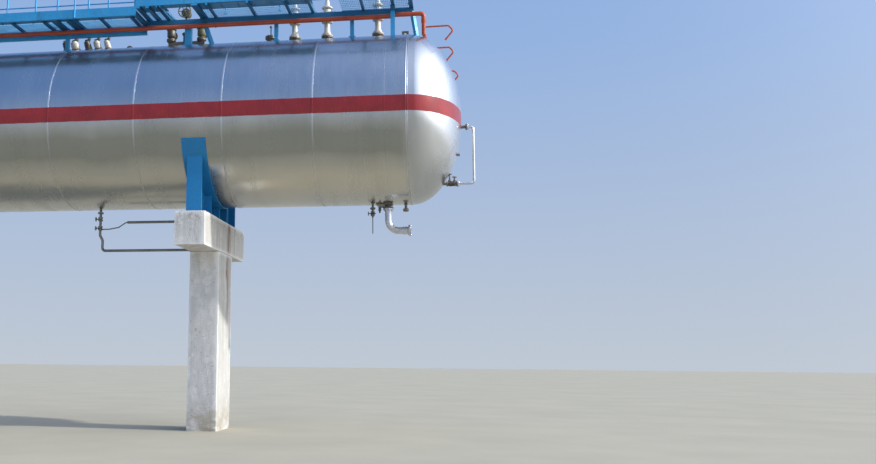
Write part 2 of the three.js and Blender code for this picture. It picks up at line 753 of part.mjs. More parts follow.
function buildOutlet() {
  const flangeZ = axisZ - 1790;
  const endX = tangentX - 20;
  const nozzle = join(
    post(outletX, 0, flangeZ, axisZ - 1600, 62, 12),
    post(outletX, 0, flangeZ, flangeZ + 26, 105, 14),
    block([outletX - 240, -140, axisZ - 1716], [outletX + 90, 140, axisZ - 1500]),
    rod([outletX - 170, 0, axisZ - 1752], [outletX, 0, axisZ - 1752], 16, 8),
    post(outletX - 170, 0, axisZ - 1870, axisZ - 1736, 32, 8),
  ).subtract(vesselSpace);
  const elbow = join(
    pipe([
      [outletX, 0, flangeZ - seat],
      [outletX, 0, outletZ],
      [endX, 0, outletZ],
    ], outletRadius, { bend: 230, steps: 4, sides: 14 }),
    post(outletX, 0, flangeZ - seat - 26, flangeZ - seat, 105, 14),
    rod([endX - 26, 0, outletZ], [endX, 0, outletZ], 115, 14),
    rod([endX - 150, 0, outletZ], [endX - 60, 0, outletZ], 78, 12),
  );
  addPart('bottom_outlet_nozzle', nozzle, darkMetal);
  addPart('outlet_elbow', elbow, pipeMetal);
}

function buildDrainValve() {
  const x = tangentX - 767;
  const plug = join(
    post(tangentX - 108, 0, axisZ - 1800, axisZ - 1600, 28, 8),
    post(tangentX - 108, 0, axisZ - 1850, axisZ - 1790, 58, 10),
  ).subtract(vesselSpace);
  addPart('drain_plug', plug, darkMetal);
  const valve = join(
    post(x, 0, axisZ - 1960, axisZ - 1600, 22, 10),
    post(x, 0, axisZ - 1790, axisZ - 1765, 55, 10),
    post(x, 0, axisZ - 1930, axisZ - 1830, 42, 8),
    rod([x - 90, 0, axisZ - 1880], [x + 60, 0, axisZ - 1880], 12, 8),
    rod([x - 96, 0, axisZ - 1880], [x - 84, 0, axisZ - 1880], 45, 8),
    post(x, 0, axisZ - 2283, axisZ - 1940, 10, 8),
  ).subtract(vesselSpace);
  addPart('drain_valve', valve, darkMetal);
}

function buildDrainLine() {
  const radius = 28;
  const wallX = pierX - pierWidth / 2;
  const dropX = wallX - 110;
  const lowZ = axisZ - 2570;
  const valveZs = [axisZ - 1905, axisZ - 2095];
  const clipZs = [3300, 1900, 600];
  const pieces = [
    pipe([
      [drainX, 0, axisZ - 1650],
      [drainX, 0, axisZ - 2250],
      [drainX + 60, 0, axisZ - 2350],
      [drainX + 60, 0, lowZ],
      [dropX, 0, lowZ],
      [dropX, 0, 260],
    ], radius, { bend: 60, steps: 2, sides: 8 }),
    post(drainX, 0, axisZ - 1790, axisZ - 1765, 62, 10),
    ...valveZs.map((z) => post(drainX, 0, z - 45, z + 45, 52, 8)),
    ...valveZs.map((z) => rod([drainX - 100, 0, z], [drainX, 0, z], 10, 8)),
    ...valveZs.map((z) => rod([drainX - 108, 0, z], [drainX - 94, 0, z], 50, 8)),
    ...clipZs.map((z) => block([dropX, -25, z - 15], [wallX - seat, 25, z + 15])),
    post(dropX, 0, 230, 262, 45, 8),
  ];
  addPart('drain_line', join(...pieces).subtract(vesselSpace), darkMetal);
}

function buildSampleTube() {
  const radius = 28;
  const endX = pierX - saddleWidth / 2 - 20 - seat;
  const z = capTopZ + radius + seat;
  const hose = pipe([
    [drainX + 52.4, 0, axisZ - 2120],
    [drainX + 190, 0, axisZ - 2120],
    [drainX + 400, 0, axisZ - 2085],
    [drainX + 560, 0, z],
    [drainX + 640, 0, z],
  ], 13, { bend: 12, steps: 2, sides: 8 });
  const tube = rod([drainX + 600, 0, z], [endX, 0, z], radius, 10);
  addPart('sample_tube', join(hose, tube), darkMetal);
}

// The whole tank

buildShell();
buildSupport('left', -pierX);
buildSupport('right', pierX);
buildWalkway();
buildHeader();
buildBranch('deluge_branch_right', 1);
buildBranch('deluge_branch_left', -1);
[-2365, -1690, -645].forEach((offset, i) => buildTopNozzle(i + 1, tangentX + offset));
buildCappedNozzles();
buildReliefGroup();
buildInstruments();
addPart('lifting_lug_left', liftingLug(90 - tangentX), darkMetal);
addPart('lifting_lug_right', liftingLug(tangentX - 90), darkMetal);
buildBridle();
buildOutlet();
buildDrainValve();
buildDrainLine();
buildSampleTube();

export default model;
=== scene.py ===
"""Looks for the horizontal gas storage tank: jacket, concrete, painted steel, grating, pipes and valves.

Shapes are given in millimetres in the tank's own frame, as in part.mjs, and become metres in the shared frame.
"""

from itertools import product
from math import asin, copysign, cos, pi, radians, sin, sqrt, tan

import bpy
from mathutils import Matrix, Vector, noise


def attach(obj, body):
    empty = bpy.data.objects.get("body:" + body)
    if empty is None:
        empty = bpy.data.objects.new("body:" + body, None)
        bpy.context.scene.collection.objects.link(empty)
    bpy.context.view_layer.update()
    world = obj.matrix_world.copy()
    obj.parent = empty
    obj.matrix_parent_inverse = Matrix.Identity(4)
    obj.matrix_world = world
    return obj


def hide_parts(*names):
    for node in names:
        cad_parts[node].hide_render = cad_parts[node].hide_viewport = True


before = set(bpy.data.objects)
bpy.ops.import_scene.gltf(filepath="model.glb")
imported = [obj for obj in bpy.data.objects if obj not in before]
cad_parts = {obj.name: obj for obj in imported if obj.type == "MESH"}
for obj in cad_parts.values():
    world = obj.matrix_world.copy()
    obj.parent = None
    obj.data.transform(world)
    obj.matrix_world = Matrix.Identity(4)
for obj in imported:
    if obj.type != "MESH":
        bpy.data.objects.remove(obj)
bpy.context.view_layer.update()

UP, DOWN, RIGHT, LEFT, NEARER = (0, 0, 1), (0, 0, -1), (1, 0, 0), (-1, 0, 0), (0, -1, 0)

# Sizes shared with part.mjs
SHIFT_X = -127.5
GAP = 0.3
TANGENT = 10500.0
RADIUS = 1700.0
HEAD = 1000.0
AXIS_Z = 6160.0
PIER_X, PIER_HALF = 6440.0, 300
CAP_TOP, CAP_FOOT = 4150.0, 3500
CAP_HALF, SHAFT_HALF = 1735, 570
NEAR_Y, FAR_Y = -1300.0, -500.0
STEP_X = TANGENT - 5400
WALK_END = TANGENT + 100
LOW_DECK, HIGH_DECK = AXIS_Z + 2130, AXIS_Z + 2232
LOW_BEAM_TOP, HIGH_BEAM_TOP = AXIS_Z + 2130, AXIS_Z + 2310
DECK_EDGE, DECK_FAR = NEAR_Y + 60, -300.0
NEAR_RAIL, FAR_RAIL = NEAR_Y + 32, FAR_Y + 30
DECK_OPENINGS = ((5660, 6240), (8630, 9150))
OUTSIDE_POST_X = 3821.0
LEG_SIZE = 75.0
LEGS = (-10200, -7700, -5500, -3300, -1100, 1100, 3345, 7827, 9375)
BRACKETS = (-9500, -7100, -4700, -2300, 100, 2500, 4700)
HEADER_Y = -620.0
HEADER_Z = AXIS_Z + 1975
JOG_X, JOG = TANGENT - 286, 25.0
RING_X = TANGENT + 305
RING_R = 1688.0
JOINT_Z = AXIS_Z + 1850
NOZZLE_Y = -20.0
BRIDLE_X = TANGENT + 1230
OUTLET_X = TANGENT - 456
OUTLET_Z = AXIS_Z - 2228
DRAIN_X = TANGENT - 6460

# Sizes of what only the looks show
COURSE, STRAP_HALF, END_SHEET = 1750.0, 17.0, 405.0
STRIPE_TOP, STRIPE_BOTTOM = AXIS_Z + 87, AXIS_Z - 214
SHELL_SIDES = 192
RAILS = ((505.0, 14), (1000.0, 19))  # height over the deck, radius
POST_TOP, POST_SPACING = 992.0, 1140.0
GRATING_PITCH = 34.0
PLATE_FAR = -800.0
NECK_FOOT, DROP_HEAD = AXIS_Z + 1690, AXIS_Z - 1690  # just inside the shell
BASE_PLATE = 25
DECK_THICK = 25


# Mesh making

SQUARE = ((0, 0), (1, 0), (1, 1), (0, 1))


def show(name, data):
    """Puts a new object into the scene."""
    made = bpy.data.objects.new(name, data)
    bpy.context.scene.collection.objects.link(made)
    return made


class Shape:
    """The vertices and faces of one piece, in millimetres of the tank's own frame."""

    def __init__(self):
        self.verts = []
        self.faces = []

    def add(self, verts, faces):
        base = len(self.verts)
        self.verts.extend(verts)
        self.faces.extend([base + i for i in face] for face in faces)
        return self

    def piece(self, name, look, *nodes, angle=35, slot=None):
        mesh = bpy.data.meshes.new(name)
        mesh.from_pydata([((x + SHIFT_X) / 1000, y / 1000, z / 1000) for x, y, z in self.verts], [], self.faces)
        mesh.validate()
        mesh.materials.append(look.material)
        mesh.shade_smooth()
        mesh.set_sharp_from_angle(angle=radians(angle))
        made = show(name, mesh)
        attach(made, "root")
        if nodes:
            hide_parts(*nodes)


def wound(loop, forward):
    """A face's loop, turned round where it doesn't run forward."""
    return loop if forward else loop[::-1]


def triple(axis, along, *across):
    """One value along an axis (0, 1 or 2) and two across it, in the order of the axes."""
    values = list(across)
    values.insert(axis, along)
    return tuple(values)


def block(shape, low, high, chamfer=2.0):
    """A box with small chamfers on all its edges."""
    c = min(chamfer, *[(b - a) / 2.5 for a, b in zip(low, high)])
    corners = {}
    verts, faces = [], []
    for signs in product((0, 1), repeat=3):
        for axis in range(3):
            corners[signs, axis] = len(verts)
            insets = [c * (k != axis) for k in range(3)]
            verts.append(tuple(high[k] - insets[k] if signs[k] else low[k] + insets[k] for k in range(3)))
    for axis in range(3):
        for side in (0, 1):
            loop = [corners[triple(axis, side, *uv), axis] for uv in SQUARE]
            faces.append(wound(loop, (side == 1) == (axis != 1)))
    for axis in range(3):
        u, v = [k for k in range(3) if k != axis]
        for su, sv in product((0, 1), repeat=2):
            a, b = triple(axis, 0, su, sv), triple(axis, 1, su, sv)
            loop = [corners[a, u], corners[b, u], corners[b, v], corners[a, v]]
            faces.append(wound(loop, (su != sv) == (axis != 1)))
    for signs in product((0, 1), repeat=3):
        faces.append(wound([corners[signs, k] for k in range(3)], sum(signs) % 2 == 1))
    return shape.add(verts, faces)


def flat(shape, low, high):
    """A plain bar of flat steel, too thin for chamfers to show."""
    verts = list(product(*zip(low, high)))
    shape.add(verts, [(0, 1, 3, 2), (4, 6, 7, 5), (0, 4, 5, 1), (2, 3, 7, 6), (0, 2, 6, 4), (1, 5, 7, 3)])


def side_axes(axis):
    """The unit vectors along an axis and across it."""
    along = Vector(axis).normalized()
    helper = Vector(UP) if abs(along.z) < 0.9 else Vector(RIGHT)
    u = along.cross(helper).normalized()
    return along, u, along.cross(u).normalized()


def circle(centre, u, v, radius, sides, start=0.0):
    """Points round a centre, from the direction u towards the direction v."""
    angles = [start + 2 * pi * i / sides for i in range(sides)]
    return [tuple(centre + (u * cos(a) + v * sin(a)) * radius) for a in angles]


def skin(shape, rings):
    """Faces from each ring of points to the next one, and over the first and the last."""
    sides, last = len(rings[0]), len(rings) - 1
    faces = []
    for k in range(last):
        for i in range(sides):
            j = (i + 1) % sides
            faces.append([k * sides + i, k * sides + j, (k + 1) * sides + j, (k + 1) * sides + i])
    faces.append(list(range(sides))[::-1])
    faces.append([last * sides + i for i in range(sides)])
    return shape.add([point for points in rings for point in points], faces)


def turn(shape, origin, axis, profile, sides, start=0.0):
    """A body of revolution: profile holds (distance along the axis, radius) pairs, closed at both ends."""
    along, u, v = side_axes(axis)
    o = Vector(origin)
    skin(shape, [circle(o + along * h, u, v, r, sides, start) for h, r in profile])


def drum(shape, start, end, radius, sides, chamfer=2):
    """A round bar with chamfered ends."""
    axis = Vector(end) - Vector(start)
    length = axis.length
    c = min(chamfer, radius / 3, length / 3)
    turn(shape, start, axis, [(0, radius - c), (c, radius), (length - c, radius), (length, radius - c)], sides)


def upright(shape, x, y, low, high, radius, sides, chamfer=2):
    drum(shape, (x, y, low), (x, y, high), radius, sides, chamfer)


def hexagon(shape, origin, axis, across, height, spin=0.0):
    r = across / sqrt(3)
    turn(shape, origin, axis, [(0, r), (height * 0.85, r), (height, r * 0.86)], 6, spin)


def flange(shape, origin, axis, radius, thick, bolts, bolt, both=False):
    """A bolted disc from origin along axis. Nuts are on its outer face, or on both."""
    along, u, v = side_axes(axis)
    o = Vector(origin)
    turn(shape, o, axis, [(0, radius - 2), (2, radius), (thick - 2, radius), (thick, radius - 2)], 40)
    for i in range(bolts):
        a = 2 * pi * (i + 0.5) / bolts
        at = o + (u * cos(a) + v * sin(a)) * radius * 0.8
        hexagon(shape, at + along * thick, axis, bolt, bolt * 0.6, a)
        drum(shape, at + along * thick, at + along * (thick + bolt * 0.95), bolt * 0.3, 8, 1)
        if both:
            hexagon(shape, at, -along, bolt, bolt * 0.6, a)


def rounded(corners, bend, steps=8):
    """The corners' polyline, with each corner rounded to an arc of about that bend radius."""
    points = [Vector(c) for c in corners]
    line = [points[0]]
    for before, here, after in zip(points, points[1:], points[2:]):
        back = (before - here).normalized()
        ahead = (after - here).normalized()
        half = back.angle(ahead) / 2
        reach = min(bend / tan(half), (before - here).length * 0.48, (after - here).length * 0.48)
        middle = (back + ahead).normalized()
        radius = reach * tan(half)
        centre = here + middle * (radius / sin(half))
        a, b = here + back * reach - centre, here + ahead * reach - centre
        sweep = a.angle(b)
        for i in range(steps + 1):
            t = i / steps
            line.append(centre + (a * sin((1 - t) * sweep) + b * sin(t * sweep)) / sin(sweep))
    line.append(points[-1])
    return line


def tube(shape, line, radius, sides):
    """A round bar along a polyline."""
    line = [Vector(p) for p in line]
    rings, u = [], None
    for i, point in enumerate(line):
        into = (point - line[max(i - 1, 0)]).normalized()
        onward = (line[min(i + 1, len(line) - 1)] - point).normalized()
        tangent = (into + onward).normalized()
        if u is None:
            u = side_axes(tangent)[1]
        u = (u - tangent * u.dot(tangent)).normalized()
        rings.append(circle(point, u, tangent.cross(u), radius, sides))
    skin(shape, rings)


def ring(shape, centre, axis, radius, bar, sides, bar_sides):
    """A closed round hoop."""
    along, u, v = side_axes(axis)
    c = Vector(centre)
    verts, faces = [], []
    for i in range(sides):
        a = 2 * pi * i / sides
        out = u * cos(a) + v * sin(a)
        for k in range(bar_sides):
            b = 2 * pi * k / bar_sides
            verts.append(tuple(c + out * (radius + bar * cos(b)) + along * bar * sin(b)))
            i2, k2 = (i + 1) % sides, (k + 1) % bar_sides
            faces.append([i * bar_sides + k, i2 * bar_sides + k, i2 * bar_sides + k2, i * bar_sides + k2])
    shape.add(verts, faces)


def wobble(point, size, seed=0.0):
    """A smooth random value from about -1 to 1, for a point and a feature size."""
    return noise.noise(Vector(point) / size + Vector((seed, seed * 1.7, -seed)))


# Materials

# The record's slot has the look's own name, apart from these looks
OTHER_SLOTS = {
    "jacket": "cladding", "walkway_steel": "blue_steel", "decking": "grating", "dull_pipe": "dark_fitting",
}


def fill(tree, node, inputs):
    """Links a node's inputs to sockets, or sets them to values."""
    for key, value in inputs.items():
        if isinstance(value, bpy.types.NodeSocket):
            tree.links.new(value, node.inputs[key])
        else:
            node.inputs[key].default_value = value


def new_node(tree, kind, inputs, **settings):
    """A new shader node with its settings, and its inputs filled."""
    made = tree.nodes.new("ShaderNode" + kind)
    for key, value in settings.items():
        setattr(made, key, value)
    fill(tree, made, inputs)
    return made


class Look:
    """A node material with one Principled shader, whose coats of colour are fed by noise in object space."""

    def __init__(self, name, base):
        self.slot = OTHER_SLOTS.get(name, name)
        self.material = bpy.data.materials.new(name)
        self.material.use_nodes = True
        self.tree = self.material.node_tree
        self.shader = self.tree.nodes["Principled BSDF"]
        self.place = self.new("TexCoord", {}).outputs
        self.base = base
        self.height = None

    def new(self, kind, inputs, **settings):
        return new_node(self.tree, kind, inputs, **settings)

    def field(self, scale, low=0.35, high=0.65, detail=4.0, rough=0.6, to_low=0.0, to_high=1.0):
        """A noise value: scale is features a metre, the same or one each along X, Y and Z."""
        scales = scale if isinstance(scale, tuple) else (scale, scale, scale)
        spread = self.new("Mapping", {"Vector": self.place["Object"], "Scale": scales})
        grain = self.new("TexNoise", {
            "Vector": spread.outputs[0], "Scale": 1.0, "Detail": detail, "Roughness": rough,
        })
        return self.ranged(grain.outputs["Fac"], low, high, to_low, to_high)

    def ranged(self, value, low, high, to_low=0.0, to_high=1.0):
        return self.new("MapRange", {
            "Value": value, "From Min": low, "From Max": high, "To Min": to_low, "To Max": to_high,
        }).outputs[0]

    def math(self, operation, a, b=0.0):
        return self.new("Math", {0: a, 1: b}, operation=operation).outputs[0]

    def times(self, a, b):
        return self.math("MULTIPLY", a, b)

    def plus(self, a, b):
        return self.math("ADD", a, b)

    def axis(self, name, of="Object"):
        return self.new("SeparateXYZ", {0: self.place[of]}).outputs[name]

    def mix(self, a, b, factor):
        a, b = [(*color, 1.0) if isinstance(color, tuple) else color for color in (a, b)]
        return self.new("Mix", {0: factor, 6: a, 7: b}, data_type="RGBA").outputs[2]

    def worn_edges(self, low=0.505, high=0.56):
        """Near 1 on the piece's sharp outer edges."""
        return self.ranged(self.new("NewGeometry", {}).outputs["Pointiness"], low, high)

    def coat(self, color, where):
        """Lays a colour over the coats so far."""
        self.base = self.mix(self.base, color, where)

    def bump(self, value, distance):
        inputs = {"Height": value, "Distance": distance}
        if self.height is not None:
            inputs["Normal"] = self.height
        self.height = self.new("Bump", inputs).outputs[0]
        fill(self.tree, self.shader, {"Normal": self.height})

    def finish(self, metallic, roughness):
        """Joins the coats to the shader, and sets how metallic and rough it is."""
        fill(self.tree, self.shader, {"Base Color": self.base, "Metallic": metallic, "Roughness": roughness})
        return self


def jacket_painted_reflections(look, along, z):
    """Painted reflections: dark olive under the stripe, pale below it, and lighter sheet on the heads."""
    axis, tangent = AXIS_Z / 1000, TANGENT / 1000
    from_middle = look.math("ABSOLUTE", along)
    off_heads = look.ranged(from_middle, tangent + 0.12, tangent - 0.12)
    on_heads = look.ranged(from_middle, tangent + 0.15, tangent + 0.50)
    uneven = look.plus(z, look.field((0.9, 0.5, 0.5), to_low=-0.06, to_high=0.06))
    # Painted reflection: the dark olive band under the stripe stands in for a dark reflection in the sheet.
    olive = look.times(look.ranged(uneven, axis - 0.26, axis - 0.56, 0.0, 0.66),
                       look.ranged(uneven, axis - 1.26, axis - 0.92))
    look.coat((0.245, 0.262, 0.222), look.times(olive, off_heads))
    # Painted reflection: the pale warm band low on the side stands in for a reflection of sunlit ground.
    painted_ground_reflection = look.times(look.ranged(uneven, axis - 0.90, axis - 1.28, 0.0, 0.6),
                       look.ranged(uneven, axis - 1.68, axis - 1.45, 0.35, 1.0))
    look.coat((0.64, 0.60, 0.49), look.times(painted_ground_reflection, off_heads))
    # Painted reflection: the heads' sheet is painted lighter above its lower part, standing in for a sky
    # reflection.
    painted_head_reflection = look.ranged(uneven, axis - 1.30, axis - 0.85, 0.0, 0.75)
    look.coat((0.82, 0.84, 0.87), look.times(on_heads, painted_head_reflection))


def jacket_stripe(look, z):
    """Paints the plain dark red stripe, and returns where it is."""
    top, bottom, soft = STRIPE_TOP / 1000, STRIPE_BOTTOM / 1000, 0.002
    level = look.plus(z, look.field(7, to_low=-0.003, to_high=0.003))
    stripe = look.times(look.ranged(level, bottom - soft, bottom + soft),
                        look.ranged(level, top + soft, top - soft))
    paint = look.mix((0.31, 0.018, 0.020), (0.24, 0.014, 0.017), look.field(3))
    paint = look.mix(paint, (0.36, 0.22, 0.21), look.field((60, 4, 9), 0.62, 0.8, to_high=0.4))
    look.coat(paint, stripe)
    return stripe


def jacket_look():
    """Dull silver sheet, brushed round the tank, with strapped joints, stains and the stripe."""
    look = Look("jacket", (0.47, 0.49, 0.52))
    axis = AXIS_Z / 1000
    z = look.axis("Z")
    along = look.math("SUBTRACT", look.axis("X"), SHIFT_X / 1000)
    look.coat((0.54, 0.56, 0.585), look.field((0.9, 0.5, 0.5)))
    look.coat((0.39, 0.40, 0.415), look.field((26, 1.2, 1.2), 0.45, 0.75, to_high=0.3))
    sheet = look.math("FLOOR", look.math("DIVIDE", along, COURSE / 1000))
    tone = look.new("TexWhiteNoise", {"W": sheet}, noise_dimensions="1D").outputs["Value"]
    look.coat((0.43, 0.45, 0.48), look.ranged(tone, 0.0, 1.0, 0.0, 0.35))
    streaks = look.field((3.0, 0.30, 0.30), 0.50, 0.78, 2, to_high=0.4)
    look.coat((0.30, 0.29, 0.25), look.times(streaks, look.ranged(z, axis + 0.6, axis - 1.2, 0.05, 0.8)))
    jacket_painted_reflections(look, along, z)
    joint = look.math("PINGPONG", along, COURSE / 2000)
    joint = look.ranged(joint, (STRAP_HALF + 1) / 1000, (STRAP_HALF - 3) / 1000)
    joint = look.times(joint, look.ranged(z, axis + 1.45, axis + 0.9, 0.1, 1.0))
    # Painted highlight: the straps are painted a pale bluish white, strongest round the upper middle and fading
    # towards top and bottom.
    look.coat((0.74, 0.77, 0.82), look.times(joint, look.ranged(z, axis - 0.9, axis - 0.2, 0.05, 0.45)))
    stripe = jacket_stripe(look, z)
    gloss = look.field((1.3, 0.8, 0.8), to_low=0.20, to_high=0.26)
    gloss = look.plus(gloss, look.field((20, 1.2, 1.2), 0.4, 0.7, 2, to_high=0.03))
    for part, rise in ((streaks, 0.15), (joint, 0.22), (stripe, 0.02)):
        gloss = look.plus(gloss, look.times(part, rise))
    look.bump(look.field((36, 1.5, 1.5), 0.3, 0.7, 1), 0.00001)
    look.bump(look.field((1.6, 1.1, 1.1), 0.2, 0.8, 2), 0.005)
    return look.finish(look.ranged(stripe, 0, 1, 0.97, 0.0), gloss)


def concrete_look():
    """Whitewashed cast concrete: grime from above, rust runs, a stained foot, painted shade on end-facing
    sides.
    """
    look = Look("concrete", (0.65, 0.63, 0.60))
    top = CAP_TOP / 1000
    z = look.axis("Z")
    look.coat((0.54, 0.53, 0.51), look.field((1.4, 1.4, 1.1), detail=7))
    look.coat((0.73, 0.71, 0.68), look.field((5, 5, 4), 0.5, 0.62, 8, to_high=0.75))
    flakes = look.field((11, 11, 16), 0.50, 0.56, 9, rough=0.7)
    look.coat((0.27, 0.24, 0.21), look.times(flakes, look.ranged(z, top - 0.30, top + 0.02, 0.0, 0.85)))
    look.coat((0.22, 0.21, 0.20), look.field((20, 20, 26), 0.62, 0.66, 8, to_high=0.5))
    runs = look.field((9, 9, 0.35), 0.52, 0.70, 6)
    look.coat((0.30, 0.285, 0.26), look.times(runs, look.ranged(z, 0.8, top, 0.25, 0.8)))
    side = look.ranged(look.math("ABSOLUTE", look.axis("X", "Normal")), 0.6, 0.9, 0.3, 1.0)
    # Painted shade: the faces that look along the tank are darkened.
    look.coat((0.36, 0.355, 0.31), look.ranged(side, 0.3, 1.0, 0.0, 0.38))
    rust = look.times(look.field((4.6, 4.6, 0.14), 0.56, 0.68, 5), look.ranged(z, 2.6, 4.0, 0.08, 0.75))
    look.coat((0.25, 0.15, 0.095), look.times(rust, side))
    beside = look.plus(look.axis("Y"), look.field((2, 2, 1.2), detail=5, to_low=-0.27, to_high=-0.13))
    run = look.ranged(look.math("ABSOLUTE", beside), 0.16, 0.05)
    run = look.times(run, look.field((16, 16, 0.8), 0.30, 0.55, 6))
    look.coat((0.15, 0.075, 0.050), look.times(run, look.times(side, look.ranged(z, 1.7, 3.0, 0.0, 0.95))))
    look.coat((0.88, 0.87, 0.85), look.times(look.worn_edges(0.51, 0.57), 0.7))
    foot = look.times(look.ranged(z, 0.75, 0.0), look.field((3, 3, 6), 0.35, 0.6, 6))
    look.coat((0.33, 0.29, 0.21), foot)
    look.coat((0.20, 0.19, 0.175), look.field(45, 0.68, 0.74, to_high=0.7))
    look.bump(look.field(60, 0.3, 0.7, 6), 0.004)
    look.bump(look.field((5, 5, 2), 0.3, 0.7, 4), 0.008)
    return look.finish(0.0, look.field(6, to_low=0.78, to_high=0.95))


def paint_look(name, main, faded, under, rough, chips, shaded=False, treads=False):
    """Gloss paint with a faded cast, dirt, chipped edges and a little orange peel.

    Where it is shaded, inner walkway members are darkened as painted shade. Treads are raised chequer-plate
    lozenges.
    """
    look = Look(name, main)
    look.coat(faded, look.field(1.7, 0.35, 0.7, 5, to_high=0.6))
    look.coat(tuple(c * 0.35 for c in main), look.field((5, 5, 0.8), 0.58, 0.78, 5, to_high=0.55))
    if shaded:
        y, z = look.axis("Y"), look.axis("Z")
        inside = look.ranged(y, (NEAR_Y + 26) / 1000, (NEAR_Y + 30) / 1000)
        high = look.ranged(z, (AXIS_Z + 2045) / 1000, (AXIS_Z + 2055) / 1000)
        below = look.ranged(z, (HIGH_DECK + 20) / 1000, (HIGH_DECK + 10) / 1000)
        inner_painted_shade = look.times(inside, look.times(high, below))
        # Painted shade: the members inside the walkway, under the deck, are darkened.
        look.coat(tuple(c * 0.28 for c in main), look.times(inner_painted_shade, 0.8))
    chipped = look.times(look.worn_edges(), look.field(22, 0.45, 0.6, 6))
    look.coat(under, look.times(chipped, chips))
    look.coat(under, look.field(17, 0.70, 0.74, 6, to_high=chips))
    look.bump(look.field(120, 0.3, 0.7, 2), 0.0004)
    if treads:
        x, y = look.times(look.axis("X"), 95.0), look.times(look.axis("Y"), 95.0)
        waves = [look.math("SINE", look.math(way, x, y)) for way in ("ADD", "SUBTRACT")]
        look.bump(look.ranged(look.times(*waves), 0.55, 0.75), 0.0012)
    return look.finish(0.1, look.field(9, to_low=rough - 0.08, to_high=rough + 0.14))


def metal_look(name, main, dark, rough, grime):
    """Bare or jacketed pipe metal with stains."""
    look = Look(name, main)
    look.coat(dark, look.field(3, 0.4, 0.75, 5, to_high=0.7))
    stain = look.field((11, 11, 5), 0.56, 0.72, 6, to_high=grime)
    look.coat((0.10, 0.08, 0.06), stain)
    look.bump(look.field(90, 0.3, 0.7, 3), 0.0005)
    gloss = look.field(8, to_low=rough - 0.06, to_high=rough + 0.1)
    return look.finish(0.95, look.plus(gloss, look.times(stain, 0.3)))


def rusty_look():
    """Dark oily cast metal with brown rust in patches."""
    look = Look("dark_fitting", (0.060, 0.058, 0.052))
    look.coat((0.115, 0.105, 0.085), look.field(6, detail=6))
    rust = look.field(12, 0.52, 0.66, 8)
    look.coat((0.17, 0.085, 0.035), look.times(rust, 0.75))
    look.coat((0.33, 0.30, 0.25), look.times(look.worn_edges(), 0.4))
    look.bump(look.field(70, 0.3, 0.7, 6), 0.0015)
    return look.finish(look.ranged(rust, 0, 1, 0.65, 0.1), look.ranged(rust, 0, 1, 0.42, 0.8))


JACKET = jacket_look()
CONCRETE = concrete_look()
# Painted shade: the saddles' blue is a darker copy of the walkway's blue paint, for their place under the tank.
PAINTED_SHADE_BLUE = paint_look("blue_steel", (0.003, 0.20, 0.47), (0.006, 0.25, 0.52), (0.06, 0.10, 0.16), 0.45, 0.3)
WALKWAY = paint_look("walkway_steel", (0.020, 0.30, 0.62), (0.055, 0.40, 0.72), (0.10, 0.13, 0.19),
                     0.42, 0.25, shaded=True)
DECK = paint_look("decking", (0.07, 0.30, 0.54), (0.13, 0.37, 0.60), (0.16, 0.17, 0.18), 0.4, 0.12, treads=True)
RED = paint_look("red_pipe", (0.44, 0.060, 0.022), (0.52, 0.12, 0.05), (0.12, 0.05, 0.035), 0.45, 0.5)
BRIGHT = metal_look("bright_pipe", (0.64, 0.65, 0.68), (0.48, 0.485, 0.50), 0.30, 0.35)
DULL = metal_look("dull_pipe", (0.26, 0.26, 0.25), (0.15, 0.145, 0.135), 0.45, 0.5)
DARK = rusty_look()
OLIVE = paint_look("olive_fitting", (0.12, 0.125, 0.06), (0.19, 0.185, 0.11), (0.10, 0.06, 0.03), 0.5, 0.7)
PALE = paint_look("pale_fitting", (0.66, 0.61, 0.50), (0.78, 0.76, 0.70), (0.20, 0.13, 0.08), 0.45, 0.7)


# The vessel

def surface(stations):
    """A skin of rings round the tank's axis, given as (x, radius), with slight dents in the sheet."""
    rings = []
    for x, r in stations:
        rings.append([])
        for i in range(SHELL_SIDES):
            a = 2 * pi * i / SHELL_SIDES
            y, z = r * sin(a), r * cos(a)
            dent = 1.1 * wobble((x, y, z), 900) + 0.35 * wobble((x, y, z), 240, 5) - 0.9
            k = 1 + dent / max(r, 300)
            rings[-1].append((x, y * k, AXIS_Z + z * k))
    return skin(Shape(), rings)


def strap(x, half, lift):
    """The stations of a flat band over the joint of two sheets."""
    raised = ((half, 0), (half - 1, lift * 0.7), (half - 4, lift))
    left = [(x - reach, RADIUS + up) for reach, up in raised]
    return left + [(2 * x - at, r) for at, r in reversed(left)]


def barrel():
    """The jacket between the heads, with a strap over each joint of two sheets."""
    stations = [(-TANGENT, RADIUS - 30), (-TANGENT, RADIUS), (-TANGENT + 20, RADIUS)]
    joints = [(-TANGENT + n * COURSE, STRAP_HALF, 3.4) for n in range(1, 12)]
    joints += [(side * (TANGENT - END_SHEET), 7, 2.2) for side in (-1, 1)]
    for x, half, lift in sorted(joints):
        start = stations[-1][0]
        parts = max(1, round((x - half - start) / 250))
        stations += [(start + (x - half - start) * i / parts, RADIUS) for i in range(1, parts)]
        stations += strap(x, half, lift)
    stations += [(TANGENT - 200, RADIUS), (TANGENT - 20, RADIUS), (TANGENT, RADIUS), (TANGENT, RADIUS - 30)]
    surface(stations).piece("shell_jacket", JACKET, "tank_barrel", angle=25)


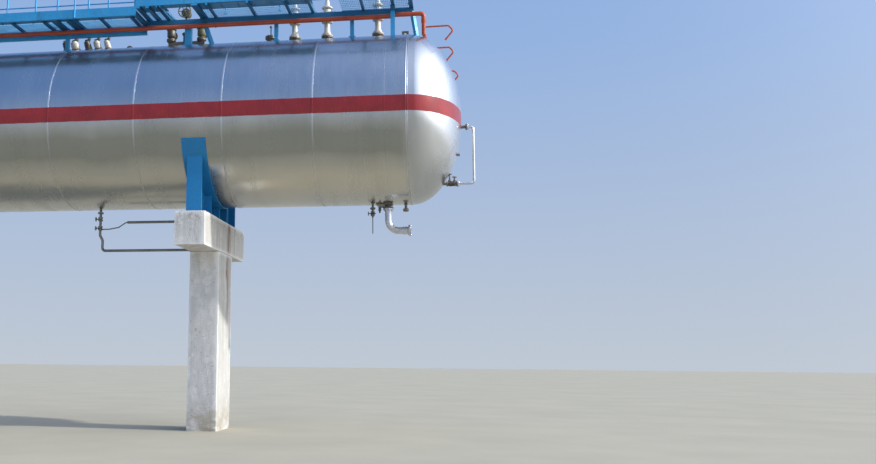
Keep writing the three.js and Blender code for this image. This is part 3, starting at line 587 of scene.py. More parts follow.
def head(side, name, node):
    """A domed end whose jacket starts with a straight ring and is lapped over the barrel's sheet."""
    ring_x = 150.0
    ring_r = RADIUS * sqrt(1 - (ring_x / HEAD) ** 2)
    stations = [(-26, RADIUS - 20), (-26, RADIUS + 1), (-22, RADIUS + 4.5), (-4, RADIUS + 4.5), (0, RADIUS + 1)]
    stations += [(12, RADIUS + 1), (16, RADIUS + 4), (24, RADIUS + 4), (28, RADIUS - 1)]
    for t in (0.25, 0.5, 0.75, 0.97):
        stations.append((28 + (ring_x - 28) * t, RADIUS - 1 + (ring_r - RADIUS + 1) * t))
    for i in range(31):
        a = asin(ring_x / HEAD) + (pi / 2 - asin(ring_x / HEAD)) * i / 30
        stations.append((HEAD * sin(a), max(RADIUS * cos(a), 2.0)))
    shape = surface([(side * (TANGENT + x), r) for x, r in stations])
    shape.faces = [wound(f, side > 0) for f in shape.faces]
    shape.piece(name, JACKET, node, angle=25)


barrel()
head(1, "head_jacket_right", "tank_head_right")
head(-1, "head_jacket_left", "tank_head_left")


# Piers and saddles

def worn_block(name, low, high, node):
    """A cast concrete block: worn arrises, small chips, slight hollows, and a flat foot on the ground."""
    radius, cell = 16.0, 55.0
    size = [b - a for a, b in zip(low, high)]
    counts = [max(2, round(s / cell)) for s in size]
    index, verts, faces = {}, [], []

    def corner(key):
        if key not in index:
            p = Vector([low[n] + size[n] * key[n] / counts[n] for n in range(3)])
            inner_painted_shade = Vector([min(max(p[n], low[n] + radius), high[n] - radius) for n in range(3)])
            out = p - inner_painted_shade
            edges = sum(1 for n in range(3) if key[n] in (0, counts[n]))
            chip = max(0.0, wobble(p, 90, 3) - 0.25) * (26 if edges > 1 else 3)
            hollow = 2.0 * (wobble(p, 400, 9) + 1)
            q = inner_painted_shade + out.normalized() * (radius - min(chip + hollow, radius * 0.9))
            if low[2] == 0 and key[2] == 0:
                q.z = 0
            index[key] = len(verts)
            verts.append(tuple(q))
        return index[key]

    for axis in range(3):
        u, v = [n for n in range(3) if n != axis]
        for side, a, b in product((0, counts[axis]), range(counts[u]), range(counts[v])):
            loop = [corner(triple(axis, side, a + da, b + db)) for da, db in SQUARE]
            faces.append(wound(loop, (side > 0) == (axis != 1)))
    Shape().add(verts, faces).piece(name, CONCRETE, node, angle=60)


def anchor_bolts(x, name):
    """Washers, nuts and bolt ends on the base plate."""
    shape = Shape()
    top = CAP_TOP + BASE_PLATE + GAP
    for dx in (-115, 115):
        for y in (-1380, -1080, -380, 380, 1080, 1380):
            upright(shape, x + dx, y, top, top + 4, 32, 20, 1)
            hexagon(shape, (x + dx, y, top + 4), UP, 41, 22, y)
            upright(shape, x + dx, y, top + 20, top + 58, 11.5, 12)
    shape.piece(name, DARK)


def weld(shape, line):
    """A slightly uneven bead along a line."""
    points = []
    for a, b in zip(line, line[1:]):
        a, b = Vector(a), Vector(b)
        steps = max(1, round((b - a).length / 40))
        for i in range(steps):
            p = a.lerp(b, i / steps)
            points.append(p + Vector([0.8 * wobble(p, 12, seed) for seed in (0, 4, 8)]))
    points.append(Vector(line[-1]))
    tube(shape, points, 6, 6)


def saddle_welds(x, name):
    """Beads along the webs' feet, and round the shell over the webs and along the wear plate's edges."""
    shape = Shape()
    z = CAP_TOP + BASE_PLATE + 2 * GAP + 2
    for y, half in ((-1430, 20), (-680, 10), (0, 10), (680, 10), (1430, 20)):
        for dy in (-half, half):
            weld(shape, [(x - 148, y + dy, z), (x + 148, y + dy, z)])
    for dx in (-10, 10):
        weld(shape, [(x + dx, -1410, z), (x + dx, 1410, z)])
    for radius, degrees, steps, half in ((RADIUS + 15, 58, 36, 11), (RADIUS + 4, 69, 48, 238)):
        for dx in (-half, half):
            line = []
            for i in range(steps + 1):
                a = radians(-degrees + 2 * degrees * i / steps)
                line.append(radius * Vector((0, sin(a), -cos(a))) + Vector((x + dx, 0, AXIS_Z)))
            weld(shape, line)
    shape.piece(name, PAINTED_SHADE_BLUE)


for x, tag in ((PIER_X, "right"), (-PIER_X, "left")):
    for part, half, low, high in (("cap", CAP_HALF, CAP_FOOT, CAP_TOP), ("shaft", SHAFT_HALF, 0, CAP_FOOT)):
        worn_block(f"{part}_concrete_{tag}", (x - PIER_HALF, -half, low), (x + PIER_HALF, half, high),
                   f"pier_{part}_{tag}")
    anchor_bolts(x, f"anchor_bolts_{tag}")
    saddle_welds(x, f"saddle_welds_{tag}")


# Walkway

def decking(name, from_x, to_x, deck, node, plated_to, openings=()):
    """Bar grating with edge flats, and a strip of chequer plate along its near edge up to plated_to."""
    shape = Shape()
    z = deck + GAP
    notch = NEAR_Y + 260  # near edge of the openings
    whole = list(zip([from_x] + [b for _, b in openings], [a for a, _ in openings] + [to_x]))
    for spans, far in ((whole, PLATE_FAR), (openings, notch)):
        for a, b in spans:
            if a < plated_to:
                block(shape, (a, DECK_EDGE + 4, z + 19.5), (min(b, plated_to), far - 4, z + 24.5), 1)
    count = round((to_x - from_x) / GRATING_PITCH)
    for i in range(count + 1):
        x = from_x + 3 + (to_x - from_x - 6) * i / count
        near = PLATE_FAR if x < plated_to and i % 10 else DECK_EDGE
        far = notch if any(a - 4 < x < b + 4 for a, b in openings) else DECK_FAR
        if near < far:
            flat(shape, (x - 2.5, near + 4, z), (x + 2.5, far - 4, z + DECK_THICK))
    for i in range(10):
        y = DECK_EDGE + 20 + (DECK_FAR - DECK_EDGE - 40) * i / 9
        for a, b in ([(from_x, to_x)] if y < notch else whole):
            start = max(a, plated_to) if y < PLATE_FAR else a
            if start < b:
                drum(shape, (start, y, z + 21), (b, y, z + 21), 4, 6, 1)
    block(shape, (from_x, DECK_EDGE, z), (to_x, DECK_EDGE + 5, z + DECK_THICK), 1)
    for a, b in whole:
        block(shape, (a, DECK_FAR - 5, z), (b, DECK_FAR, z + DECK_THICK), 1)
    for a, b in openings:
        block(shape, (a, notch - 5, z), (b, notch, z + DECK_THICK), 1)
    shape.piece(name, DECK, node)


def rail_posts(shape, places, foot, top):
    """Round posts on small bolted feet, at (x, y) places."""
    for x, y in places:
        upright(shape, x, y, foot + 6, top, 19.5, 14, 3)
        block(shape, (x - 34, y - 19, foot), (x + 34, y + 19, foot + 7), 1.5)
        for dx in (-26, 26):
            hexagon(shape, (x + dx, y, foot + 7), UP, 15, 8)


def rails(shape, start, end, deck):
    """The two rails between two (x, y) places."""
    for height, radius in RAILS:
        z = deck + height - radius
        drum(shape, (*start, z), (*end, z), radius, 14, 3)


def handrail(name, node, from_x, to_x, y, foot, deck, first, outside_x=None, openings=()):
    """A handrail along the walkway, with its posts at equal spacing from a first one at the piped end."""
    shape = Shape()
    xs = [from_x + 20, to_x - 20]
    while first >= from_x + POST_SPACING / 3:
        if not any(a - 60 < first < b + 60 for a, b in openings):
            xs.append(first)
        first -= POST_SPACING
    if outside_x is not None:
        outside_y = NEAR_Y - 18
        upright(shape, outside_x, outside_y, deck - 98, deck + POST_TOP, 17, 14, 3)
        for height, _ in RAILS:
            z = deck + height - 15
            drum(shape, (outside_x, outside_y, z), (outside_x, y, z), 11, 10)
    rails(shape, (from_x + 4, y), (to_x - 4, y), deck)
    rail_posts(shape, [(x, y) for x in xs], foot + GAP, deck + POST_TOP)
    shape.piece(name, WALKWAY, node)


def end_rail(name, x, deck, node):
    """The rails across one end of the walkway."""
    shape = Shape()
    rails(shape, (x, DECK_EDGE + 2), (x, FAR_Y - 2), deck)
    rail_posts(shape, [(x, DECK_EDGE + 20), (x, FAR_Y - 20)], deck + DECK_THICK + 2 * GAP, deck + POST_TOP)
    shape.piece(name, WALKWAY, node)


def leg_bolts():
    """Bolts through the legs' foot plates."""
    shape = Shape()
    reach = LEG_SIZE / 2 + 13
    for x in LEGS:
        for dx in (-reach, reach):
            for dy in (-reach, reach):
                y = FAR_RAIL + dy
                foot = AXIS_Z + sqrt(RADIUS ** 2 - y ** 2)
                normal = Vector((0, y, foot - AXIS_Z)).normalized()
                hexagon(shape, Vector((x + dx, y, foot)) + normal * 14, normal, 15, 10)
    shape.piece("leg_bolts", WALKWAY)


HIGH_START = STEP_X + GAP
LOW_END, HIGH_END = -WALK_END + 50, WALK_END - 50
ON_LOW, ON_HIGH = LOW_DECK + DECK_THICK + GAP, HIGH_DECK + DECK_THICK + GAP
decking("decking_low", LOW_END, STEP_X, LOW_DECK, "walkway_deck_low", STEP_X)
decking("decking_high", HIGH_START, HIGH_END, HIGH_DECK, "walkway_deck_high", DECK_OPENINGS[1][0],
        DECK_OPENINGS)
handrail("rail_low", "handrail_low", -WALK_END, STEP_X, NEAR_RAIL, LOW_BEAM_TOP, LOW_DECK, 4100, OUTSIDE_POST_X)
handrail("rail_high", "handrail_high", HIGH_START, WALK_END, NEAR_RAIL, HIGH_BEAM_TOP, HIGH_DECK, 9500)
handrail("rail_far_low", "handrail_far_low", LOW_END + 5, STEP_X, FAR_RAIL, ON_LOW, LOW_DECK, 4225)
handrail("rail_far_high", "handrail_far_high", HIGH_START, HIGH_END - 5, FAR_RAIL, ON_HIGH, HIGH_DECK, 10180,
         openings=DECK_OPENINGS)
end_rail("rail_end_left", -WALK_END + 75, LOW_DECK, "end_rail_left")
end_rail("rail_end_right", WALK_END - 75, HIGH_DECK, "end_rail_right")
leg_bolts()


# Spray pipework

def spray_arm(shape, y, z, reach=0.0):
    """A hooked arm from the ring pipe, with its nozzle."""
    x = RING_X + reach
    line = rounded([(RING_X, y, z), (x + 480, y, z + 8), (x + 570, y, z - 92), (x + 415, y, z - 280)], 55)
    tube(shape, line, 17, 12)
    end, before = line[-1], line[-2]
    drum(shape, end - (end - before).normalized() * 30, end, 21, 12)


def coupling(shape, x, z):
    """A socket on an upright run of the spray pipe, with a raised lip at each end."""
    turn(shape, (x, HEADER_Y, z), UP,
         [(0, 47), (2, 50), (9, 50), (11, 47), (29, 47), (31, 50), (38, 50), (40, 47)], 28)


def spray_header():
    """The long pipe under the walkway, hung from brackets and legs, with its row of small outlets."""
    shape = Shape()
    end_z = HEADER_Z + JOG
    line = rounded([
        (-RING_X, HEADER_Y, JOINT_Z), (-RING_X, HEADER_Y, HEADER_Z), (JOG_X - 40, HEADER_Y, HEADER_Z),
        (JOG_X + 40, HEADER_Y, end_z), (RING_X, HEADER_Y, end_z), (RING_X, HEADER_Y, JOINT_Z),
    ], 75)
    tube(shape, line, 45, 24)
    for x in (-7500, -3000, 1500, 6000):
        drum(shape, (x - 40, HEADER_Y, HEADER_Z), (x + 40, HEADER_Y, HEADER_Z), 50, 24, 4)
    for x in (-RING_X, RING_X):
        coupling(shape, x, JOINT_Z)
    leg_face = FAR_RAIL - LEG_SIZE / 2
    for x, to_y in [(x, FAR_Y) for x in BRACKETS] + [(x, leg_face) for x in LEGS if x > STEP_X]:
        block(shape, (x - 20, HEADER_Y, HEADER_Z - 8), (x + 20, to_y - GAP, HEADER_Z + 8), 1.5)
        ring(shape, (x, HEADER_Y, HEADER_Z), RIGHT, 48, 6, 28, 8)
    for x in range(-9900, 10400, 1650):
        upright(shape, x, HEADER_Y - 10, HEADER_Z - 40, HEADER_Z - 62, 11, 10)
    shape.piece("header_pipe", RED, "deluge_header")


def spray_branch(side, name, node):
    """The pipe bent round a head, with its hooked arms."""
    shape = Shape()
    start, end = asin(HEADER_Y / RING_R), radians(105)
    line = []
    for i in range(57):
        a = start + (end - start) * i / 56
        line.append((RING_X, RING_R * sin(a), AXIS_Z + RING_R * cos(a)))
    tube(shape, line, 38, 20)
    upright(shape, RING_X, HEADER_Y, line[0][2] - 10, JOINT_Z - GAP, 41, 20)
    coupling(shape, RING_X, JOINT_Z - 40 - GAP)
    drum(shape, line[-2], line[-1], 44, 20, 4)
    spray_arm(shape, HEADER_Y, AXIS_Z + 1719)
    for degrees, reach in ((16, 0), (40, 90), (70, 0)):
        a = radians(degrees)
        y, z = RING_R * sin(a), AXIS_Z + RING_R * cos(a)
        spray_arm(shape, y, z, reach)
        ring(shape, (RING_X - 34, y, z), (0, y, z - AXIS_Z), 20, 4, 20, 6)
        drum(shape, (RING_X - 35, y, z), (RING_X - 35, y * 0.93, AXIS_Z + (z - AXIS_Z) * 0.93), 14, 10, 1)
    if side < 0:
        shape.verts = [(-x, y, z) for x, y, z in shape.verts]
        shape.faces = [f[::-1] for f in shape.faces]
    shape.piece(name, RED, node)


spray_header()
spray_branch(1, "branch_right", "deluge_branch_right")
spray_branch(-1, "branch_left", "deluge_branch_left")


# Fittings on top

def flange_pair(shape, x, z, radius, thick, bolt):
    """Two flanges face to face on an upright fitting."""
    flange(shape, (x, NOZZLE_Y, z), DOWN, radius, thick, 8, bolt)
    flange(shape, (x, NOZZLE_Y, z + 0.5), UP, radius, thick, 8, bolt)


def nut_circle(shape, x, z, radius, count, across, height, first=0.0):
    """Nuts round an upright fitting."""
    for i in range(count):
        a = 2 * pi * (i + first) / count
        hexagon(shape, (x + radius * cos(a), NOZZLE_Y + radius * sin(a), z), UP, across, height)


def top_nozzle(i, x):
    """A flanged neck, and on it an upright valve in two parts with a closed lever on its near side."""
    neck = Shape()
    top = AXIS_Z + 1815
    upright(neck, x, NOZZLE_Y, NECK_FOOT, top - 20, 58, 32)
    turn(neck, (x, NOZZLE_Y, AXIS_Z + RADIUS - 14), UP, [(0, 104), (23, 104), (28, 98)], 40)
    turn(neck, (x, NOZZLE_Y, top - 50), UP, [(0, 58), (8, 68), (22, 78)], 32)
    flange(neck, (x, NOZZLE_Y, top), DOWN, 118, 28, 8, 24)
    neck.piece(f"nozzle_neck_{i}", DARK, f"top_nozzle_{i}", slot="cladding")
    valve = Shape()
    foot = top + GAP
    flange(valve, (x, NOZZLE_Y, foot), UP, 118, 28, 8, 24)
    turn(valve, (x, NOZZLE_Y, foot + 26), UP, [(0, 95), (12, 94), (70, 68), (92, 61), (272, 60)], 32)
    flange_pair(valve, x, foot + 318, 112, 22, 18)
    turn(valve, (x, NOZZLE_Y, foot + 338), UP,
         [(0, 60), (14, 72), (34, 79), (200, 79), (236, 72), (252, 60), (264, 56)], 32)
    flange(valve, (x, NOZZLE_Y, foot + 600), UP, 112, 24, 8, 18, both=True)
    turn(valve, (x, NOZZLE_Y, foot + 622), UP,
         [(0, 96), (14, 94), (22, 60), (120, 46), (150, 42), (162, 26)], 32)
    drum(valve, (x, NOZZLE_Y - 60, foot + 480), (x, NOZZLE_Y - 138, foot + 480), 26, 20)
    hexagon(valve, (x, NOZZLE_Y - 138, foot + 480), NEARER, 28, 12)
    block(valve, (x - 14, NOZZLE_Y - 158, foot + 472), (x + 198, NOZZLE_Y - 140, foot + 490), 3)
    valve.piece(f"valve_body_{i}", PALE, f"vapour_valve_{i}")


def vented_nozzle(x):
    """A short neck shut with a bolted blind flange, with a thin vent on it."""
    shape = Shape()
    top, radius = AXIS_Z + 1875, 117
    neck = radius * 0.64
    upright(shape, x, NOZZLE_Y, NECK_FOOT, top - 30, neck, 32)
    turn(shape, (x, NOZZLE_Y, AXIS_Z + 1694), UP, [(0, neck + 14), (10, neck + 14), (20, neck + 1)], 32)
    flange_pair(shape, x, top - 32, radius, 30, 20)
    hexagon(shape, (x, NOZZLE_Y, AXIS_Z + 1873), UP, 60, 30)
    upright(shape, x, NOZZLE_Y, AXIS_Z + 1900, AXIS_Z + 2100, 12, 14)
    turn(shape, (x, NOZZLE_Y, AXIS_Z + 2060), UP, [(0, 18), (6, 29), (34, 29), (50, 12)], 20)
    shape.piece("capped_neck_1", DARK, "capped_nozzle_1")


def domed_nozzle(x):
    """A low neck under a bolted dome."""
    shape = Shape()
    upright(shape, x, NOZZLE_Y, NECK_FOOT, AXIS_Z + 1740, 50, 28)
    turn(shape, (x, NOZZLE_Y, AXIS_Z + 1731), UP,
         [(0, 70), (3, 77), (22, 77), (26, 70), (38, 69), (58, 62), (76, 46), (87, 26), (92, 8)], 32)
    nut_circle(shape, x, AXIS_Z + 1744, 68, 6, 14, 16)
    shape.piece("capped_dome", DARK, "capped_nozzle_2")


def relief_valve(tag, x, foot, look):
    """A spring valve with a stepped bonnet and an outlet flange on its far side."""
    valve = Shape()
    flange(valve, (x, NOZZLE_Y, foot), UP, 99, 24, 8, 20)
    turn(valve, (x, NOZZLE_Y, foot + 22), UP, [
        (0, 66), (14, 58), (30, 60), (48, 84), (66, 91), (186, 91), (200, 82), (204, 106), (230, 106),
        (233, 64), (262, 61), (430, 48), (468, 45), (472, 30), (520, 29), (534, 18),
    ], 32)
    nut_circle(valve, x, foot + 250, 90, 8, 18, 12, 0.5)
    drum(valve, (x, NOZZLE_Y + 60, foot + 145), (x, NOZZLE_Y + 150, foot + 145), 57, 28)
    flange(valve, (x, NOZZLE_Y + 154, foot + 145), NEARER, 99, 24, 8, 18, both=True)
    valve.piece(f"relief_body_{tag}", look, f"relief_valve_{tag}")


def relief_group(x):
    """Two relief valves on a cross header, with a changeover spindle and its handwheel between them."""
    body, spread = AXIS_Z + 1800, 330
    seats = body + 90
    wheel_y, wheel_z = NOZZLE_Y - 190, AXIS_Z + 2462
    shape = Shape()
    upright(shape, x, NOZZLE_Y, NECK_FOOT, body, 84, 32)
    turn(shape, (x, NOZZLE_Y, AXIS_Z + 1692), UP, [(0, 98), (12, 98), (24, 86)], 32)
    tube(shape, [(x - spread - 50, NOZZLE_Y, body), (x + spread + 50, NOZZLE_Y, body)], 59, 28)
    for dx in (-spread, spread):
        upright(shape, x + dx, NOZZLE_Y, body, seats - 20, 49, 28)
        flange(shape, (x + dx, NOZZLE_Y, seats), DOWN, 99, 24, 8, 20)
        turn(shape, (x + dx, NOZZLE_Y, body), (copysign(1, dx), 0, 0), [(40, 59), (44, 62), (50, 59)], 28)
    turn(shape, (x, NOZZLE_Y, body), UP, [(0, 69), (196, 69), (198, 94), (230, 94), (232, 70), (240, 60)], 28)
    nut_circle(shape, x, body + 230, 80, 6, 18, 12)
    upright(shape, x, NOZZLE_Y, body + 230, wheel_z + 20, 33, 20, 3)
    for height in (300, 430, 560):
        upright(shape, x, NOZZLE_Y, body + height, body + height + 22, 38, 20, 3)
    drum(shape, (x, NOZZLE_Y, wheel_z), (x, wheel_y + 20.3, wheel_z), 17, 16)
    turn(shape, (x, NOZZLE_Y + 70, wheel_z), NEARER,
         [(0, 60), (8, 92), (30, 96), (150, 97), (168, 97), (172, 88), (190, 84), (198, 50)], 36)
    shape.piece("relief_header", DARK, "relief_manifold")
    relief_valve("left", x - spread, seats + GAP, DARK)
    relief_valve("right", x + spread, seats + GAP, OLIVE)
    wheel = Shape()
    ring(wheel, (x, wheel_y, wheel_z), (0, 1, 0), 130, 14, 40, 12)
    for degrees in (0, 60, 120):
        a = radians(degrees)
        dx, dz = 128 * cos(a), 128 * sin(a)
        tube(wheel, [(x - dx, wheel_y, wheel_z - dz), (x + dx, wheel_y, wheel_z + dz)], 9, 10)
    turn(wheel, (x, wheel_y + 20, wheel_z), NEARER, [(0, 24), (30, 24), (40, 16)], 20)
    wheel.piece("wheel", OLIVE, "changeover_handwheel")


def instrument(shape, metal, x, y, radius):
    """A drum that leans away from the piped end, with a bolted foot, a cap and a small head beside its top."""
    base = AXIS_Z + 1700
    foot, top = Vector((x + 20, y, base + 54)), Vector((x - 45, y, base + 235))
    flange(metal, (x + 20, y, base + 36), UP, radius + 20, 24, 6, 16)
    upright(metal, x + 20, y, base, base + 38, radius + 4, 24)
    length = (top - foot).length
    turn(shape, foot, top - foot, [
        (0, radius - 2), (4, radius), (length * 0.55, radius - 2), (length * 0.57, radius + 1),
        (length * 0.64, radius + 1), (length * 0.66, radius - 4), (length - 8, radius * 0.9),
        (length, radius * 0.8),
    ], 28)
    turn(metal, top, top - foot, [(0, radius * 0.44), (40, radius * 0.42), (50, radius * 0.3)], 20)
    bulb = [(0, 0.5), (20, 0.55), (80, 0.45), (86, 0.36), (98, 0.34)]
    turn(metal, (x - 20, y, base + 240), (65, -20, 80), [(h, radius * k) for h, k in bulb], 24)


def instruments(cx):
    """Five leaning drums on a bolted pad."""
    low = AXIS_Z + sqrt(RADIUS ** 2 - 210 ** 2) - 4
    pad = block(Shape(), (cx - 588, -208, low), (cx + 588, 188, AXIS_Z + 1717), 5)
    for x in (-540, -110, 130, 350, 540):
        for side in (-175, 150):
            hexagon(pad, (cx + x, side, AXIS_Z + 1716), UP, 18, 12)
    for i, (dx, r) in enumerate(zip((-470, -260, 25, 240, 465), (62, 88, 72, 74, 66))):
        device = Shape()
        instrument(device, pad, cx + dx, NOZZLE_Y - 60, r)
        device.piece(f"instrument_{i + 1}", DARK if i in (0, 2) else PALE, "instrument_nozzles")
    pad.piece("instrument_pad", DARK, "instrument_nozzles")


for number, offset in enumerate((-2365, -1690, -645)):
    top_nozzle(number + 1, TANGENT + offset)
vented_nozzle(TANGENT - 2870)
domed_nozzle(TANGENT - 5935)
relief_group(TANGENT - 4690)
instruments(TANGENT - 6870)


# Fittings on the head and under the shell

def head_x(radial):
    """Where the head's surface is, at a distance from the tank's axis."""
    return TANGENT + HEAD * sqrt(1 - (radial / RADIUS) ** 2)


def small_wheel(shape, centre, axis, radius):
    """A valve's handwheel with three thin spokes across and a nut."""
    bar = 6.0
    ring(shape, centre, axis, radius - bar, bar, 28, 8)
    _, u, v = side_axes(axis)
    for a in (0, pi / 3, 2 * pi / 3):
        d = (u * cos(a) + v * sin(a)) * (radius - bar)
        tube(shape, [Vector(centre) - d, Vector(centre) + d], bar * 0.7, 8)
    hexagon(shape, centre, axis, radius * 0.4, bar)


def level_bridle():
    """A level tube between two nozzles of the right head, with the gauge stub between them."""
    upper, lower = AXIS_Z - 172, AXIS_Z - 1310
    face_up, face_low = TANGENT + 1110, TANGENT + 910
    shape = Shape()
    drum(shape, (head_x(172) - 20, 0, upper), (face_up - 15, 0, upper), 30, 24)
    turn(shape, (head_x(172) - 12, 0, upper), RIGHT, [(0, 44), (14, 44), (22, 31)], 24)
    flange(shape, (face_up, 0, upper), LEFT, 62, 20, 4, 18)
    shape.piece("bridle_upper", DARK, "bridle_nozzle_upper")
    shape = Shape()
    drum(shape, (head_x(1310) - 20, 0, lower), (face_low - 15, 0, lower), 30, 24)
    turn(shape, (TANGENT + 690, 0, lower), RIGHT,
         [(0, 42), (8, 54), (26, 54), (32, 46), (90, 54), (148, 46), (154, 54), (172, 54), (180, 42)], 28)
    for x, height in ((755, 200), (850, 140)):
        upright(shape, TANGENT + x, 0, lower + 30, lower + height, 17, 18)
        upright(shape, TANGENT + x, 0, lower + 50, lower + 72, 30, 20)
        small_wheel(shape, (TANGENT + x, 0, lower + height - 7), UP, 50)
    flange(shape, (face_low, 0, lower), LEFT, 62, 20, 4, 18)
    shape.piece("bridle_lower", DARK, "bridle_valve_lower")
    shape = Shape()
    line = rounded([
        (face_up + GAP, 0, upper), (BRIDLE_X, 0, upper), (BRIDLE_X, 0, lower), (face_low + GAP, 0, lower),
    ], 60)
    tube(shape, line, 24.5, 20)
    flange(shape, (face_up + GAP, 0, upper), RIGHT, 62, 20, 4, 18)
    flange(shape, (face_low + GAP, 0, lower), RIGHT, 62, 20, 4, 18)
    shape.piece("bridle_tube", BRIGHT, "level_tube")
    shape = Shape()
    z = AXIS_Z - 728
    turn(shape, (head_x(728) - 14, 0, z), RIGHT, [(0, 34), (16, 33), (24, 20)], 20)
    drum(shape, (head_x(728), 0, z), (TANGENT + 950, 0, z), 19, 20)
    hexagon(shape, (TANGENT + 925, 0, z), RIGHT, 58, 38)
    shape.piece("gauge_stub", DARK, "gauge_nozzle")


def outlet():
    """The bottom nozzle with its pad and side valve, and the jacketed elbow below."""
    face = AXIS_Z - 1790
    end = TANGENT - 20
    shape = Shape()
    upright(shape, OUTLET_X, 0, face, DROP_HEAD, 61, 32)
    low = AXIS_Z - sqrt(RADIUS ** 2 - 140 ** 2)
    block(shape, (OUTLET_X - 238, -138, AXIS_Z - 1715), (OUTLET_X + 88, 138, low), 4)
    turn(shape, (OUTLET_X, 0, AXIS_Z - 1714), DOWN, [(0, 80), (8, 80), (18, 63)], 32)
    flange(shape, (OUTLET_X, 0, face), UP, 104, 26, 8, 22, both=True)
    side = OUTLET_X - 170
    drum(shape, (side - 16, 0, AXIS_Z - 1752), (OUTLET_X, 0, AXIS_Z - 1752), 15, 14)
    turn(shape, (side, 0, AXIS_Z - 1870), UP,
         [(0, 14), (10, 18), (40, 18), (46, 31), (72, 31), (86, 24), (100, 31), (128, 31), (134, 20)], 22)
    shape.piece("outlet_neck", DARK, "bottom_outlet_nozzle")
    shape = Shape()
    line = rounded([(OUTLET_X, 0, face - GAP), (OUTLET_X, 0, OUTLET_Z), (end, 0, OUTLET_Z)], 230, 16)
    tube(shape, line, 69, 36)
    flange(shape, (OUTLET_X, 0, face - GAP), DOWN, 104, 26, 8, 22)
    flange(shape, (end, 0, OUTLET_Z), LEFT, 114, 26, 8, 24, both=True)
    drum(shape, (end - 150, 0, OUTLET_Z), (end - 60, 0, OUTLET_Z), 77, 36, 4)
    for t in (0.30, 0.62):
        k = int(len(line) * t)
        ring(shape, line[k], line[k + 1] - line[k - 1], 69.5, 2.5, 40, 6)
    shape.piece("outlet_pipe", BRIGHT, "outlet_elbow")


def drain_fittings():
    """A small drain valve with its wheel, and a drain plug."""
    x, stem = TANGENT - 767, AXIS_Z - 1880
    shape = Shape()
    upright(shape, x, 0, AXIS_Z - 1955, DROP_HEAD, 21, 20)
    flange(shape, (x, 0, AXIS_Z - 1790), UP, 54, 24, 4, 16, both=True)
    turn(shape, (x, 0, AXIS_Z - 1932), UP,
         [(0, 26), (10, 42), (28, 42), (50, 30), (72, 42), (90, 42), (102, 26)], 24)
    drum(shape, (x - 92, 0, stem), (x + 58, 0, stem), 12, 14)
    small_wheel(shape, (x - 88, 0, stem), LEFT, 44)
    upright(shape, x, 0, AXIS_Z - 2283, AXIS_Z - 1945, 9.5, 12)
    shape.piece("drain_cock", DARK, "drain_valve")
    x = TANGENT - 108
    shape = Shape()
    upright(shape, x, 0, AXIS_Z - 1796, DROP_HEAD, 27, 22)
    turn(shape, (x, 0, AXIS_Z - 1710), UP, [(0, 28), (4, 38), (14, 38)], 22)
    turn(shape, (x, 0, AXIS_Z - 1850), UP, [(0, 40), (6, 54), (20, 57), (54, 57), (60, 50)], 26)
    shape.piece("drain_plug_cap", DARK, "drain_plug")


def drain_line():
    """A pipe with two valves, run along to the right pier and down it on clips."""
    shape = Shape()
    wall = PIER_X - PIER_HALF
    drop = wall - 110
    low = AXIS_Z - 2570
    line = rounded([
        (DRAIN_X, 0, DROP_HEAD), (DRAIN_X, 0, AXIS_Z - 2250), (DRAIN_X + 60, 0, AXIS_Z - 2350),
        (DRAIN_X + 60, 0, low), (drop, 0, low), (drop, 0, 260),
    ], 70)
    tube(shape, line, 27.5, 20)
    flange(shape, (DRAIN_X, 0, AXIS_Z - 1790), UP, 60, 25, 4, 16, both=True)
    for z in (AXIS_Z - 1905, AXIS_Z - 2095):
        turn(shape, (DRAIN_X, 0, z - 46), UP,
             [(0, 34), (8, 50), (26, 50), (46, 36), (66, 50), (84, 50), (92, 34)], 24)
        drum(shape, (DRAIN_X - 98, 0, z), (DRAIN_X, 0, z), 12, 14)
        small_wheel(shape, (DRAIN_X - 101, 0, z), LEFT, 49)
    for z in (3300, 1900, 600):
        block(shape, (drop + 24, -24, z - 14), (wall - GAP, 24, z + 14), 2)
        ring(shape, (drop, 0, z), UP, 28, 5, 28, 8)
        block(shape, (wall - 8, -44, z - 40), (wall - GAP, 44, z + 40), 1.5)
    upright(shape, drop, 0, 232, 262, 44, 24, 3)
    shape.piece("drain_pipe", DULL, "drain_line")


def sample_tube():
    """A thin tube from the drain line to the saddle."""
    shape = Shape()
    z = CAP_TOP + 28.3
    line = rounded([
        (DRAIN_X + 52.4, 0, AXIS_Z - 2120), (DRAIN_X + 190, 0, AXIS_Z - 2120),
        (DRAIN_X + 400, 0, AXIS_Z - 2085), (DRAIN_X + 560, 0, z), (DRAIN_X + 640, 0, z),
    ], 120)
    tube(shape, line, 12.5, 14)
    drum(shape, (DRAIN_X + 600, 0, z), (PIER_X - 170.3, 0, z), 27, 20, 3)
    drum(shape, (DRAIN_X + 590, 0, z), (DRAIN_X + 640, 0, z), 28, 20, 3)
    shape.piece("sample_pipe", DULL, "sample_tube")


level_bridle()
outlet()
drain_fittings()
drain_line()
sample_tube()


# The CAD nodes that stay

def keep(node, look, edge=2.0):
    """Gives a CAD node its look and softened edges."""
    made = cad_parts[node]
    made.data.materials.clear()
    made.data.materials.append(look.material)
    soften = made.modifiers.new("edges", "BEVEL")
    soften.width = edge / 1000
    soften.segments = 1
    soften.limit_method = "ANGLE"
    soften.angle_limit = radians(60)
    soften.harden_normals = False


for tag in ("left", "right"):
    keep(f"saddle_base_plate_{tag}", PAINTED_SHADE_BLUE, 3)
    keep(f"saddle_web_{tag}", PAINTED_SHADE_BLUE)
    keep(f"saddle_wear_plate_{tag}", PAINTED_SHADE_BLUE)
    keep(f"lifting_lug_{tag}", DARK)
for level in ("low", "high"):
    keep(f"walkway_frame_{level}", WALKWAY)
    keep(f"toe_plate_{level}", WALKWAY)


# Floor, light and camera

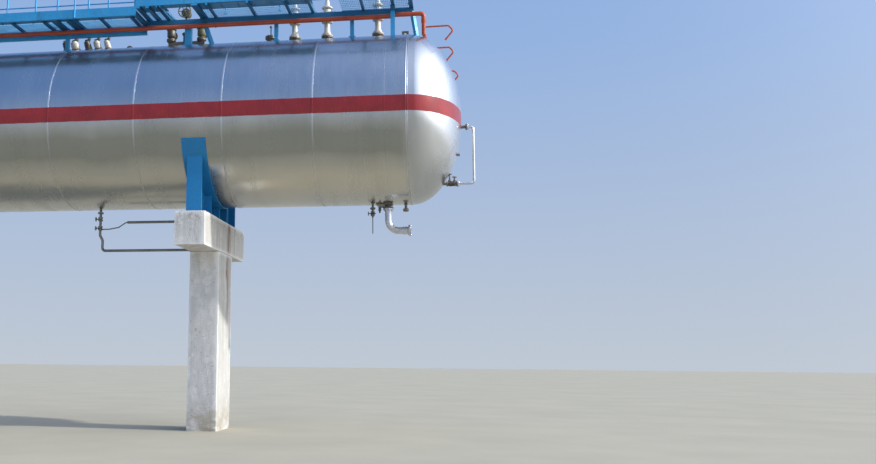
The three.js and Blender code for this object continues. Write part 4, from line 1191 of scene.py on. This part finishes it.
def floor():
    mesh = bpy.data.meshes.new("floor")
    mesh.from_pydata([(u * 300 - 150, v * 300 - 150, 0) for u, v in SQUARE], [], [(0, 1, 2, 3)])
    look = Look("floor", (0.37, 0.335, 0.25))
    look.coat((0.41, 0.37, 0.275), look.field(0.4))
    mesh.materials.append(look.finish(0.0, 0.9).material)
    show("floor", mesh)


def lights():
    """A key light, and a wide soft glow round it in a plain graded backdrop."""
    sunward = Vector((0.850, -0.108, 0.517)).normalized()
    key = bpy.data.lights.new("key", "SUN")
    key.energy = 3.5
    key.angle = radians(2)
    key.color = (1.0, 0.97, 0.92)
    lamp = show("key", key)
    lamp.rotation_mode = "QUATERNION"
    lamp.rotation_quaternion = (-sunward).to_track_quat("-Z", "Y")
    world = bpy.data.worlds.new("studio")
    bpy.context.scene.world = world
    world.use_nodes = True
    tree = world.node_tree
    place = new_node(tree, "TexCoord", {}).outputs["Generated"]
    height = new_node(tree, "SeparateXYZ", {0: place}).outputs["Z"]
    ramp = new_node(tree, "ValToRGB", {0: height})
    low, high = ramp.color_ramp.elements
    low.position, low.color = 0.0, (0.52, 0.58, 0.66, 1)
    high.position, high.color = 0.7, (0.15, 0.31, 0.66, 1)
    ramp.color_ramp.elements.new(0.3).color = (0.30, 0.45, 0.74, 1)
    facing = new_node(tree, "VectorMath", {0: place, 1: sunward}, operation="DOT_PRODUCT")
    positive = new_node(tree, "Math", {0: facing.outputs["Value"], 1: 0.0}, operation="MAXIMUM")
    glow = new_node(tree, "Math", {0: positive.outputs[0], 1: 3.0}, operation="POWER").outputs[0]
    sky = new_node(tree, "VectorMath", {0: glow, 1: (2.15, 2.1, 2.05), 2: ramp.outputs[0]},
                   operation="MULTIPLY_ADD")
    fill(tree, tree.nodes["Background"], {"Color": sky.outputs[0], "Strength": 1.0})


def camera():
    """The camera fitted to the photo. A shifted lens stands in for the crop."""
    photo_width, photo_height = 876.0, 464.0
    focal_px, axis_x_px, axis_y_px = 997.88, 284.21, 210.97
    yaw, pitch, roll = -0.17688, 0.14693, 0.00905
    f = Vector((sin(yaw), cos(yaw), 0))
    r = Vector((cos(yaw), -sin(yaw), 0))
    u = Vector(UP)
    f, u = f * cos(pitch) + u * sin(pitch), u * cos(pitch) - f * sin(pitch)
    r, u = r * cos(roll) + u * sin(roll), u * cos(roll) - r * sin(roll)
    eye = Vector((11.3305, -19.6849, 1.4037))
    data = bpy.data.cameras.new("camera")
    data.sensor_width = 36.0
    data.lens = focal_px * data.sensor_width / photo_width
    data.shift_x = (photo_width / 2 - axis_x_px) / photo_width
    data.shift_y = (axis_y_px - photo_height / 2) / photo_width
    made = show("camera", data)
    made.matrix_world = Matrix([[r[k], u[k], -f[k], eye[k]] for k in range(3)] + [[0, 0, 0, 1]])
    bpy.context.scene.camera = made


floor()
lights()
camera()
bpy.context.scene.view_settings.view_transform = "Standard"
